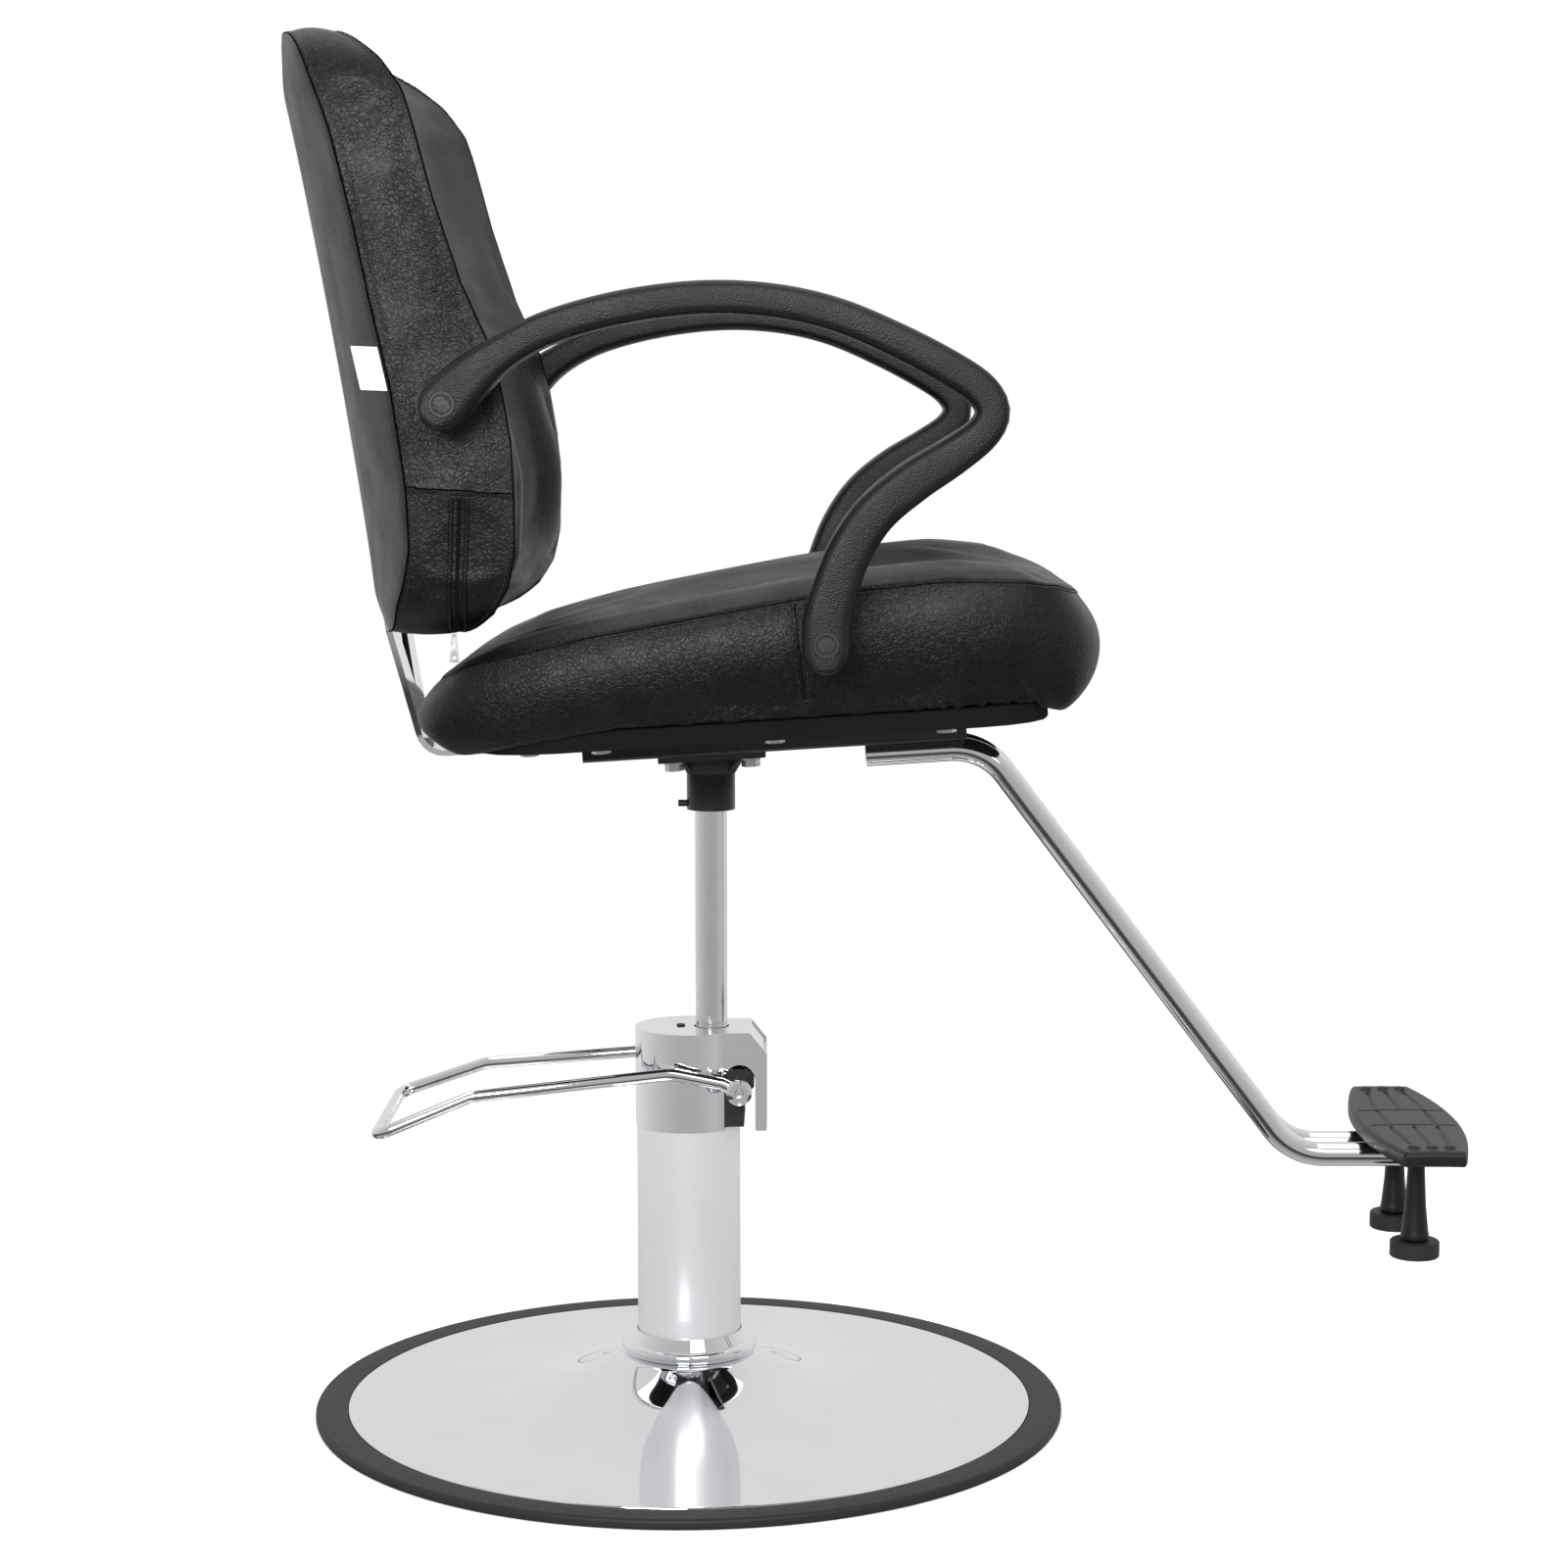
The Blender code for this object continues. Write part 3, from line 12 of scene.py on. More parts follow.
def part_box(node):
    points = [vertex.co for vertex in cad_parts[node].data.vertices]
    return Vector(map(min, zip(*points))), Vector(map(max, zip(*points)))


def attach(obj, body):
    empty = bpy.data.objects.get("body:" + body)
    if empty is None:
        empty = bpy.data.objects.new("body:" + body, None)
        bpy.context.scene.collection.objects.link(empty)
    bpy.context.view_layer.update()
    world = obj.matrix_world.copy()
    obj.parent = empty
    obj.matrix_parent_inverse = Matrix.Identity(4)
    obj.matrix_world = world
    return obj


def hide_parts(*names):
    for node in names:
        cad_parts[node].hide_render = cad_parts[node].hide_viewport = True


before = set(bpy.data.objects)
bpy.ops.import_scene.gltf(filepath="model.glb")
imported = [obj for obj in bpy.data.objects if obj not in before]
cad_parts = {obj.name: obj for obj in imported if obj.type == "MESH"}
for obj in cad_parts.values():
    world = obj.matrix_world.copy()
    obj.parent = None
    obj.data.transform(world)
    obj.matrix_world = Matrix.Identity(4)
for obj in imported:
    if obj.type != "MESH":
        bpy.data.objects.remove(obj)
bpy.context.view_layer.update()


# ------------ base plate and rubber rim
# A flat steel disc lies on the floor inside a moulded rubber rim. The rim is pushed on from
# outside and hides the disc's cut edge; it is matte dark grey.

def linear(code):
    """An sRGB hex colour as linear red, green, blue and 1."""
    parts = [int(code[at:at + 2], 16) / 255 for at in (1, 3, 5)]
    return tuple(part / 12.92 if part <= 0.04045 else ((part + 0.055) / 1.055) ** 2.4
                 for part in parts) + (1.0,)


def fill(material, node, sockets):
    """Give a node's sockets their values or links."""
    for name, value in sockets.items():
        socket = node.inputs[name]
        if isinstance(value, bpy.types.NodeSocket):
            material.node_tree.links.new(value, socket)
        else:
            socket.default_value = value


def add(material, kind, sockets=None, **settings):
    """Add a node with its own settings, and its sockets' values or links."""
    node = material.node_tree.nodes.new("ShaderNode" + kind)
    for name, value in settings.items():
        setattr(node, name, value)
    fill(material, node, sockets or {})
    return node


def finish(material, **sockets):
    """Set or link the sockets of a material's own shader."""
    fill(material, material.node_tree.nodes["Principled BSDF"],
         {name.replace("_", " "): value for name, value in sockets.items()})


def finish_of(name, **sockets):
    """A new Principled finish."""
    material = bpy.data.materials.new(name)
    material.use_nodes = True
    finish(material, **sockets)
    return material


def mottled(name, dark, light, size_mm, rough, bump_mm, detail=4.0, **sockets):
    """A plain finish of uneven colour and gloss, with patches and a relief of real sizes."""
    material = finish_of(name, **sockets)
    place = add(material, "TexCoord").outputs["Object"]
    patch = add(material, "TexNoise", {"Vector": place, "Scale": 1000.0 / size_mm,
                                       "Detail": detail}).outputs["Fac"]
    tone = add(material, "Mix", {"Factor": patch, "A": linear(dark), "B": linear(light)},
               data_type="RGBA")
    gloss = add(material, "MapRange", {"Value": patch, "From Min": 0.3, "From Max": 0.7,
                                       "To Min": rough[0], "To Max": rough[1]})
    relief = add(material, "Bump", {"Height": patch, "Strength": 0.6, "Distance": bump_mm / 1000.0})
    finish(material, Base_Color=tone.outputs["Result"], Roughness=gloss.outputs["Result"],
           Normal=relief.outputs["Normal"])
    return material


def piece_of(name, shape, material, body, smooth_angle=40.0):
    """A finished piece from a bmesh, smooth but for its sharp edges, riding on a body."""
    mesh = bpy.data.meshes.new(name)
    shape.to_mesh(mesh)
    shape.free()
    mesh.materials.append(material)
    mesh.shade_smooth()
    mesh.set_sharp_from_angle(angle=math.radians(smooth_angle))
    piece = bpy.data.objects.new(name, mesh)
    bpy.context.scene.collection.objects.link(piece)
    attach(piece, body)
    return piece


def spun(points, centre=(0.0, 0.0), steps=128, closed=True):
    """Spin (radius, height) points round a vertical axis into a closed body."""
    shape = bmesh.new()
    verts = [shape.verts.new((centre[0] + radius, centre[1], height)) for radius, height in points]
    pairs = list(zip(verts, verts[1:])) + ([(verts[-1], verts[0])] if closed else [])
    edges = [shape.edges.new(pair) for pair in pairs]
    bmesh.ops.spin(shape, geom=verts + edges, cent=(*centre, 0.0), axis=(0.0, 0.0, 1.0),
                   dvec=(0.0, 0.0, 0.0), angle=math.tau, steps=steps, use_merge=True,
                   use_duplicate=False)
    bmesh.ops.remove_doubles(shape, verts=shape.verts, dist=1e-6)
    bmesh.ops.recalc_face_normals(shape, faces=shape.faces)
    return shape


def eased(points, radius, steps=4):
    """Round every inner corner of a run of points by a radius."""
    points = [Vector(point) for point in points]
    done = [points[0]]
    for before, here, after in zip(points, points[1:], points[2:]):
        inward, outward = before - here, after - here
        reach = min(radius, inward.length * 0.45, outward.length * 0.45)
        start, end = here + inward.normalized() * reach, here + outward.normalized() * reach
        for step in range(steps + 1):
            share = step / steps
            done.append(start * (1 - share) ** 2 + here * 2 * share * (1 - share) + end * share ** 2)
    return done + [points[-1]]


RIM_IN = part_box("base_cover")[1][0] + 0.0003
RIM_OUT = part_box("base_rim")[1][0]
RIM_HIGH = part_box("base_rim")[1][2]

rubber = mottled("moulded rubber", "#1b1b1d", "#262729", 2.5, (0.46, 0.62), 0.06,
                 Specular_IOR_Level=0.35)    # fine moulded bloom

rim = piece_of("base_rubber_rim", spun(eased(
    [(RIM_IN, 0.0), (RIM_OUT - 0.0012, 0.0), (RIM_OUT, 0.002), (RIM_OUT - 0.0002, RIM_HIGH - 0.0015),
     (RIM_OUT - 0.0022, RIM_HIGH), (RIM_IN + 0.001, RIM_HIGH), (RIM_IN, RIM_HIGH - 0.001)], 0.0012),
    steps=192), rubber, "base")
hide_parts("base_rim")

rolled_steel = mottled("cold rolled steel", "#86878a", "#a2a3a6", 30.0, (0.30, 0.42), 0.02, 8.0,
                       Metallic=1.0)    # smooth, with broad dull patches


def dress(names, material):
    """Give a finish to nodes whose shape is kept."""
    for name in names:
        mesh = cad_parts[name].data
        mesh.materials.clear()
        mesh.materials.append(material)


dress(["base_plate", "pump_plunger", "pump_finger", "ram_gland", "pedal_shaft", "plunger_spring"],
      rolled_steel)


# ------------ chromed cover and collar
# The cover is thin steel, spun to a shallow trumpet and chromed over a mirror polish. A loose
# chromed ring with a rolled bead slides down the column and hides the hole in the cover.

chrome = mottled("polished chrome plate", "#e4e5e7", "#eeeff1", 60.0, (0.028, 0.055), 0.004, 2.0,
                 Metallic=1.0)    # a mirror with a faint haze

cover_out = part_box("base_cover")[1][0]
collar_low, collar_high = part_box("column_collar")[0][2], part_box("column_collar")[1][2]
COLLAR_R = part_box("column_collar")[1][0]
COVER_LOW = RIM_HIGH
COVER_WALL = 0.0012
COVER_FLARE = 4.5


def cover_height(radius):
    """Height of the cover at a radius: nearly flat, then a flare up to the collar."""
    share = max(0.0, (cover_out - radius) / (cover_out - COLLAR_R))
    rise = collar_low - 0.0003 - COVER_LOW - 0.002
    return COVER_LOW + 0.002 * share + rise * share ** COVER_FLARE


cover_top = [(cover_out, COVER_LOW - 0.0040), (cover_out, COVER_LOW - 0.0012),
             (cover_out - 0.0004, COVER_LOW - 0.0003), (cover_out - 0.0014, COVER_LOW + 0.0001)]
for step in range(1, 49):
    across = cover_out - 0.0014 - (cover_out - 0.0014 - COLLAR_R) * step / 48
    cover_top.append((across, cover_height(across)))
cover_top.append((COLLAR_R - 0.0124, cover_height(COLLAR_R)))
cover_under = [(max(radius - (COVER_WALL if height < COVER_LOW else 0.0), 0.0), height - COVER_WALL)
               for radius, height in reversed(cover_top[2:])]
cover_under.append((cover_out - COVER_WALL, COVER_LOW - 0.0040))
cover = piece_of("base_chrome_cover", spun(cover_top + cover_under, steps=192), chrome,
                 "base")
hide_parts("base_cover")

COLUMN_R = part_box("column_tube")[1][0]
collar_in = COLUMN_R + 0.0004
collar_line = [(collar_in, collar_low), (COLLAR_R - 0.004, collar_low)]
for step in range(9):
    turn = math.radians(-90 + 180 * step / 8)
    collar_line.append((COLLAR_R - 0.0042 + 0.0042 * math.cos(turn),
                        collar_low + 0.0046 + 0.0046 * math.sin(turn)))
collar_line += [(COLLAR_R - 0.0058, collar_low + 0.0096), (collar_in + 0.0016, collar_high),
                (collar_in + 0.0006, collar_high), (collar_in, collar_high - 0.0006)]
collar = piece_of("column_trim_ring", spun(collar_line, steps=128), chrome, "base")
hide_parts("column_collar")


# ------------ column and pump iron
# The column is drawn steel tube in a satin silver lacquer, welded to the base plate. The pump's
# cylinder and head inside it are black-painted cast iron.

lacquer = mottled("satin silver lacquer", "#dcdddf", "#e6e6e8", 1.2, (0.30, 0.36), 0.004,
                  Metallic=0.55)    # metal flake under a clear coat

column_low, column_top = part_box("column_tube")[0][2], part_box("column_tube")[1][2]
column = piece_of("column", spun(
    [(COLUMN_R - 0.002, column_low), (COLUMN_R, column_low), (COLUMN_R, column_top - 0.0004),
     (COLUMN_R - 0.0004, column_top), (COLUMN_R - 0.002, column_top)], steps=128),
    lacquer, "base")
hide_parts("column_tube")

cast_iron = mottled("black painted cast iron", "#0e0e0f", "#1a1a1b", 1.6, (0.35, 0.55), 0.10,
                    Specular_IOR_Level=0.5)    # sand-cast grain under the paint
dress(["pump_cylinder", "pump_head"], cast_iron)


# ------------ pump cap
# One chromed pressing covers the pump head: a round cup with a square nose and an arched slot in
# each cheek for the pedal. It drops over the head, and the ram holds it in the middle.

def tidied(node):
    """A copy of a node's mesh with its doubles merged and its flat triangles joined."""
    shape = bmesh.new()
    shape.from_mesh(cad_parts[node].data)
    bmesh.ops.remove_doubles(shape, verts=shape.verts, dist=1e-5)
    bmesh.ops.dissolve_limit(shape, angle_limit=math.radians(0.6), verts=shape.verts,
                             edges=shape.edges)
    return shape


def ease_edges(piece, width_mm, angle=38.0):
    """Break a piece's sharp edges as tumbling or plating does."""
    soft = piece.modifiers.new("broken edges", "BEVEL")
    soft.width = width_mm / 1000.0
    soft.segments = 2
    soft.limit_method = "ANGLE"
    soft.angle_limit = math.radians(angle)
    soft.harden_normals = True
    return piece


def remade(node, name, material, body, width_mm=0.4, smooth=38.0):
    """A kept shape made again with eased edges."""
    piece = piece_of(name, tidied(node), material, body, smooth)
    ease_edges(piece, width_mm)
    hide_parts(node)
    return piece


remade("pump_cap", "pump_cap_shell", chrome, "base", 0.35)

nylon = mottled("black nylon", "#141415", "#1d1d1e", 1.4, (0.40, 0.55), 0.04,
                Specular_IOR_Level=0.45)    # fine spark-eroded grain
dress(["vent_plug"], nylon)


# ------------ pedal
# The pedal is a 10 mm round bar bent to a loop and chromed, with a pressed eye at each end. A
# domed socket-head bolt on each side holds it to the shaft that works the pump.

def tube_mesh(points, radius, wall=0.0, sides=20):
    """A round bar or tube that follows points, as a bmesh."""
    curve = bpy.data.curves.new("bar", "CURVE")
    curve.dimensions = "3D"
    spline = curve.splines.new("POLY")
    spline.points.add(len(points) - 1)
    for slot_point, point in zip(spline.points, points):
        slot_point.co = (*point, 1.0)
    curve.bevel_depth = radius
    curve.bevel_resolution = sides // 4
    curve.use_fill_caps = not wall
    carrier = bpy.data.objects.new("bar", curve)
    bpy.context.scene.collection.objects.link(carrier)
    mesh = bpy.data.meshes.new_from_object(carrier)
    shape = bmesh.new()
    shape.from_mesh(mesh)
    bpy.data.objects.remove(carrier, do_unlink=True)
    bpy.data.curves.remove(curve)
    bpy.data.meshes.remove(mesh)
    bmesh.ops.remove_doubles(shape, verts=shape.verts, dist=1e-6)
    bmesh.ops.recalc_face_normals(shape, faces=shape.faces)
    if wall:
        bmesh.ops.solidify(shape, geom=shape.faces[:], thickness=wall)
    return shape


def bent(corners, radii, steps=12):
    """Straight runs through corners with a true arc at each inner corner."""
    points = [Vector(corners[0])]
    for before, here, after, radius in zip(corners, corners[1:], corners[2:], radii):
        here = Vector(here)
        inward = (Vector(before) - here).normalized()
        outward = (Vector(after) - here).normalized()
        half = inward.angle(outward) / 2
        middle = here + (inward + outward).normalized() * (radius / math.sin(half))
        first = (here + inward * radius / math.tan(half) - middle).normalized()
        last = (here + outward * radius / math.tan(half) - middle).normalized()
        points += [middle + first.slerp(last, step / steps) * radius for step in range(steps + 1)]
    return points + [Vector(corners[-1])]


def join(shape, part):
    """Add one bmesh to another, and free it."""
    holder = bpy.data.meshes.new("part")
    part.to_mesh(holder)
    part.free()
    shape.from_mesh(holder)
    bpy.data.meshes.remove(holder)


PIVOT = Vector((0.0415, 0.0, 0.2700))     # the pedal's shaft
PEDAL_R = 0.005
EYE_R = 0.0095
EYE_HOLE = 0.0045
EYE_FACE = 0.0048        # half of the eye's thickness
EYE_Y = 0.0520
pedal_side = [(-0.0045, EYE_Y, 0.0012), (-0.0135, EYE_Y, 0.0057), (-0.0535, EYE_Y, 0.0135),
              (-0.2095, 0.0670, -0.0015), (-0.2820, 0.0830, -0.0290)]
pedal_corners = [PIVOT + Vector(point) for point in pedal_side]
pedal_corners += [Vector((point.x, -point.y, point.z)) for point in reversed(pedal_corners)]
pedal_shape = tube_mesh(bent(pedal_corners, [0.012, 0.040, 0.030, 0.011, 0.011, 0.030, 0.040, 0.012]),
                        PEDAL_R, sides=24)
for side in (-1, 1):
    eye = spun(eased([(EYE_HOLE, -EYE_FACE), (EYE_R, -EYE_FACE), (EYE_R, EYE_FACE),
                      (EYE_HOLE, EYE_FACE)], 0.0012) + [(EYE_HOLE, 0.0)], steps=40)
    eye.transform(Matrix.Translation(PIVOT + Vector((0.0, side * EYE_Y, 0.0)))
                  @ Matrix.Rotation(math.radians(90), 4, "X"))
    join(pedal_shape, eye)
pedal = piece_of("pedal_bar", pedal_shape, chrome, "pedal")
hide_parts("pedal_loop")
for side in ("left", "right"):
    remade("pedal_bolt_" + side, "pedal_screw_" + side, chrome, "pedal", 0.5)


# ------------ ram and hub
# The ram is ground and hard-chromed bar. A black-enamelled socket with four ribs is welded to a
# square plate and sits on the ram, held by one small screw; four bolts fix the plate to the pan.

RAM_X = (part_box("ram")[0][0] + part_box("ram")[1][0]) / 2
RAM_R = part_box("ram")[1][1]
ram_low, ram_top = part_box("ram")[0][2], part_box("ram")[1][2]
ground = mottled("ground hard chrome", "#d8d9db", "#e4e5e6", 14.0, (0.10, 0.16), 0.003, 6.0,
                 Metallic=1.0)    # softer reflections than polished chrome
ram = piece_of("ram_bar", spun(
    [(0.0, ram_low), (RAM_R, ram_low), (RAM_R, ram_low + 0.004), (RAM_R - 0.003, ram_low + 0.004),
     (RAM_R - 0.003, ram_low + 0.0125), (RAM_R, ram_low + 0.0125), (RAM_R, ram_top - 0.002),
     (RAM_R - 0.002, ram_top), (0.0, ram_top)], (RAM_X, 0.0), 96, closed=False),
    ground, "ram")
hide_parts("ram")
dress(["ram_seal"], rubber)

enamel = mottled("black stoving enamel", "#0b0b0c", "#121213", 3.0, (0.26, 0.36), 0.03,
                 Specular_IOR_Level=0.5)    # slight orange peel
remade("seat_hub", "hub_socket", enamel, "seat", 0.6)
remade("hub_lock_screw", "hub_screw", enamel, "seat", 0.3)

zinc = mottled("bright zinc plate", "#a9adb0", "#cfd2d4", 4.0, (0.22, 0.38), 0.02, 6.0,
               Metallic=1.0)    # bluish, slightly cloudy
bolts = sorted(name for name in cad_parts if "_bolt_" in name and "pedal" not in name)
for name in bolts:
    remade(name, name + "_plated", zinc, "seat", 0.35)
dress([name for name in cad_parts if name.startswith("base_screw")], zinc)


# ------------ seat pan and board
# A folded steel channel in black enamel carries the seat. The plywood board on it is wrapped
# underneath in black spun cloth, stapled along its edge.

remade("seat_pan", "seat_channel", enamel, "seat", 0.5)
dress(["bracket_packer", "footrest_plate"], enamel)

spun_cloth = finish_of("black spun bonded cloth", Roughness=0.95, Specular_IOR_Level=0.12)
cloth_place = add(spun_cloth, "TexCoord").outputs["Object"]
fibres = add(spun_cloth, "TexNoise", {"Vector": cloth_place, "Scale": 420.0, "Detail": 6.0})
bonds = add(spun_cloth, "TexVoronoi", {"Vector": cloth_place, "Scale": 1000.0 / 2.5})    # bond points
cloth_height = add(spun_cloth, "Math", {0: fibres.outputs["Fac"], 1: bonds.outputs["Distance"]},
                   operation="MULTIPLY")
cloth_tone = add(spun_cloth, "Mix", {"Factor": fibres.outputs["Fac"], "A": linear("#0b0b0b"),
                                     "B": linear("#171717")}, data_type="RGBA")
cloth_bump = add(spun_cloth, "Bump", {"Height": cloth_height.outputs[0], "Strength": 0.7,
                                      "Distance": 0.0003})
finish(spun_cloth, Base_Color=cloth_tone.outputs["Result"], Normal=cloth_bump.outputs["Normal"])
remade("seat_board", "seat_board_cloth", spun_cloth, "seat", 2.0)


# ------------ seat cushion
# Foam under black leatherette: a top panel and a boxing all round, sewn together along one seam
# and topstitched, with a second seam across each side. The skirt is stapled under the board.

leather = finish_of("pebbled black leatherette", Specular_IOR_Level=0.28)
skin_place = add(leather, "TexCoord").outputs["Object"]
stretch = add(leather, "TexNoise", {"Vector": skin_place, "Scale": 22.0, "Detail": 3.0})
wander = add(leather, "TexNoise", {"Vector": skin_place, "Scale": 160.0, "Detail": 2.0})
shifted = add(leather, "MixRGB", {"Fac": 0.010, "Color1": skin_place,
                                  "Color2": wander.outputs["Color"]})
pebbles = add(leather, "TexVoronoi", {"Vector": shifted.outputs["Color"], "Scale": 1000.0 / 3.8},
              feature="DISTANCE_TO_EDGE")     # 3.8 mm pebbles
creases = add(leather, "MapRange", {"Value": pebbles.outputs["Distance"], "From Max": 0.22})
pores = add(leather, "TexNoise", {"Vector": skin_place, "Scale": 1400.0, "Detail": 2.0})
worn = add(leather, "MapRange", {"Value": stretch.outputs["Fac"], "From Min": 0.35,
                                 "From Max": 0.65, "To Min": 0.35})
grain = add(leather, "Math", {0: creases.outputs["Result"], 1: worn.outputs["Result"]},
            operation="MULTIPLY")
height = add(leather, "Math", {0: pores.outputs["Fac"], 1: 0.25, 2: grain.outputs[0]},
             operation="MULTIPLY_ADD")
skin_bump = add(leather, "Bump", {"Height": height.outputs[0], "Strength": 0.65, "Distance": 0.00040})
# The skin is darker along the grain's creases: painted shade in the creases.
skin_tone = add(leather, "Mix", {"Factor": creases.outputs["Result"], "A": linear("#060606"),
                                 "B": linear("#0f0f0f")}, data_type="RGBA")
skin_gloss = add(leather, "MapRange", {"Value": stretch.outputs["Fac"], "From Min": 0.3,
                                       "From Max": 0.7, "To Min": 0.36, "To Max": 0.45})
finish(leather, Base_Color=skin_tone.outputs["Result"], Roughness=skin_gloss.outputs["Result"],
       Normal=skin_bump.outputs["Normal"])

thread = mottled("black polyester thread", "#0a0a0a", "#2b2b2b", 0.6, (0.5, 0.7), 0.05,
                 Specular_IOR_Level=0.4)    # lit and shaded fibres
seam_shade_paint = mottled("painted seam shade", "#020202", "#060606", 1.5, (0.9, 1.0), 0.05,
               Specular_IOR_Level=0.05)    # painted shade inside a seam, on a near-black tube


def along(table, value):
    """Read a smooth line through (place, height) pairs."""
    places, heights = zip(*table)
    return float(np.interp(value, places, heights))


def squircle(across, up, power):
    """Carry a point of a square to a square with rounded corners."""
    reach = max(abs(across), abs(up))
    if reach < 1e-6:
        return across, up
    a, b = abs(across) / reach, abs(up) / reach
    shrink = (a ** power + b ** power) ** (-1.0 / power)
    return across * shrink, up * shrink


def pad_shape(place, cuts):
    """A cube cut finely along each axis, closer to its edges, carried to a pad's shape."""
    shape = bmesh.new()
    bmesh.ops.create_cube(shape, size=2.0)
    for axis in range(3):
        runs = [edge for edge in shape.edges
                if abs((edge.verts[1].co - edge.verts[0].co).normalized()[axis]) > 0.9]
        bmesh.ops.subdivide_edges(shape, edges=runs, cuts=cuts[axis])
    for vert in shape.verts:
        vert.co = place(*(share * (1.16 - 0.16 * share * share) for share in vert.co))
    bmesh.ops.recalc_face_normals(shape, faces=shape.faces)
    return shape


def refine(piece):
    """Subdivide a piece once, and keep the finer mesh as its own."""
    finer = piece.modifiers.new("finer", "SUBSURF")
    finer.levels = finer.render_levels = 1
    graph = bpy.context.evaluated_depsgraph_get()
    made = bpy.data.meshes.new_from_object(piece.evaluated_get(graph))
    piece.modifiers.clear()
    old, piece.data = piece.data, made
    bpy.data.meshes.remove(old)


SWELL_CAP = 0.006        # the most a pad swells
SWELL_FRAMES = 20


def places_of(mesh):
    """A mesh's vertices as an array."""
    places = np.empty(len(mesh.vertices) * 3)
    mesh.vertices.foreach_get("co", places)
    return places.reshape(-1, 3)


def stuffed(piece, seams, hold):
    """Swell a pad by cloth pressure between its seams, refine it, and return its seams' tree."""
    start = places_of(piece.data)
    tree = KDTree(len(seams))
    for index, point in enumerate(seams):
        tree.insert(point, index)
    tree.balance()
    pinned = piece.vertex_groups.new(name="sewn")
    for index, point in enumerate(start):
        grip = 1.0 if hold(*point) else 1.6 - tree.find(point)[2] / 0.006
        pinned.add([index], max(0.0, min(1.0, grip)), "REPLACE")
    swell = piece.modifiers.new("swell", "CLOTH")
    swell.settings.vertex_group_mass = "sewn"
    swell.settings.quality = 3
    swell.settings.mass = 0.3
    swell.settings.tension_stiffness = 12.0
    swell.settings.compression_stiffness = 12.0
    swell.settings.use_pressure = True
    swell.settings.uniform_pressure_force = 4.0
    swell.settings.effector_weights.gravity = 0.0
    swell.collision_settings.use_collision = False
    swell.point_cache.frame_start = 1
    swell.point_cache.frame_end = SWELL_FRAMES
    for moment in range(1, SWELL_FRAMES + 1):
        bpy.context.scene.frame_set(moment)
    graph = bpy.context.evaluated_depsgraph_get()
    moved = places_of(piece.evaluated_get(graph).data) - start
    piece.modifiers.clear()
    piece.vertex_groups.clear()
    bpy.context.scene.frame_set(1)
    length = np.linalg.norm(moved, axis=1, keepdims=True)
    moved *= np.minimum(1.0, SWELL_CAP / np.maximum(length, 1e-9))
    piece.data.vertices.foreach_set("co", (start + moved).ravel())
    refine(piece)
    return tree


def sink_seams(piece, tree, width, depth):
    """Draw the surface in along its seams, as a sewn edge does."""
    mesh = piece.data
    places = places_of(mesh)
    normals = np.array([vert.normal for vert in mesh.vertices])
    gaps = np.array([tree.find(point)[2] for point in places])
    places -= normals * (depth * np.exp(-(gaps / width) ** 2))[:, None]
    mesh.vertices.foreach_set("co", places.ravel())
    mesh.update()


def surface_of(piece):
    """A search tree of a piece's surface."""
    graph = bpy.context.evaluated_depsgraph_get()
    return BVHTree.FromObject(piece, graph)


STITCH = 0.0042      # length of a stitch and its gap
THREAD_R = 0.00045
# radius of the near-black tube of painted shade along each seam
SEAM_SHADE_R = 0.0006


def seam_shade_tubes(name, surface, lines, body):
    """A near-black tube along each seam: painted shade in the seam's groove."""
    shape = bmesh.new()
    for line in lines:
        points = []
        for point in line:
            spot = surface.find_nearest(Vector(point))
            if not points or (spot[0] - points[-1]).length > 0.0015:
                points.append(spot[0] - spot[1] * SEAM_SHADE_R * 0.55)
        join(shape, tube_mesh(points, SEAM_SHADE_R, sides=8))
    return piece_of(name, shape, seam_shade_paint, body, 60.0)


def stitched(name, surface, lines, body):
    """Rows of stitches that lie on a surface."""
    shape = bmesh.new()
    for line in lines:
        spots = [surface.find_nearest(Vector(point)) for point in line]
        spots = [(spot[0], spot[1]) for spot in spots if spot[0] is not None]
        run, last = 0.0, spots[0]
        marks = [last]
        for spot in spots[1:]:
            run += (spot[0] - last[0]).length
            if run >= STITCH:
                marks.append(spot)
                run = 0.0
            last = spot
        for near, far in zip(marks, marks[1:]):
            lead = far[0] - near[0]
            if not STITCH * 0.5 <= lead.length <= STITCH * 2.5:
                continue
            middle = near[0] + lead * 0.5 + near[1] * THREAD_R * 0.35
            turn = lead.to_track_quat("Z", "Y").to_matrix().to_4x4()
            bmesh.ops.create_cone(shape, cap_ends=True, segments=6, radius1=THREAD_R, radius2=THREAD_R,
                                  depth=lead.length * 0.72, matrix=Matrix.Translation(middle) @ turn)
    return piece_of(name, shape, thread, body, 60.0)


# heights of the top seam, the crown over it and the skirt's lower edge, from rear to front
SEAM_LINE = [(-0.200, 0.592), (-0.180, 0.604), (-0.155, 0.617), (-0.060, 0.640), (0.087, 0.667),
             (0.134, 0.674), (0.197, 0.680), (0.253, 0.679), (0.278, 0.676), (0.300, 0.668)]
CREST = [(-0.180, 0.004), (-0.120, 0.008), (-0.030, 0.010), (0.090, 0.011), (0.200, 0.013),
         (0.255, 0.010), (0.290, 0.003)]
SKIRT = [(-0.200, 0.548), (-0.175, 0.546), (-0.156, 0.549), (-0.120, 0.558), (-0.064, 0.568),
         (-0.021, 0.577), (0.035, 0.588), (0.092, 0.592), (0.148, 0.595), (0.204, 0.597),
         (0.247, 0.593), (0.272, 0.584), (0.290, 0.577)]
SEAT_MID = 0.0585
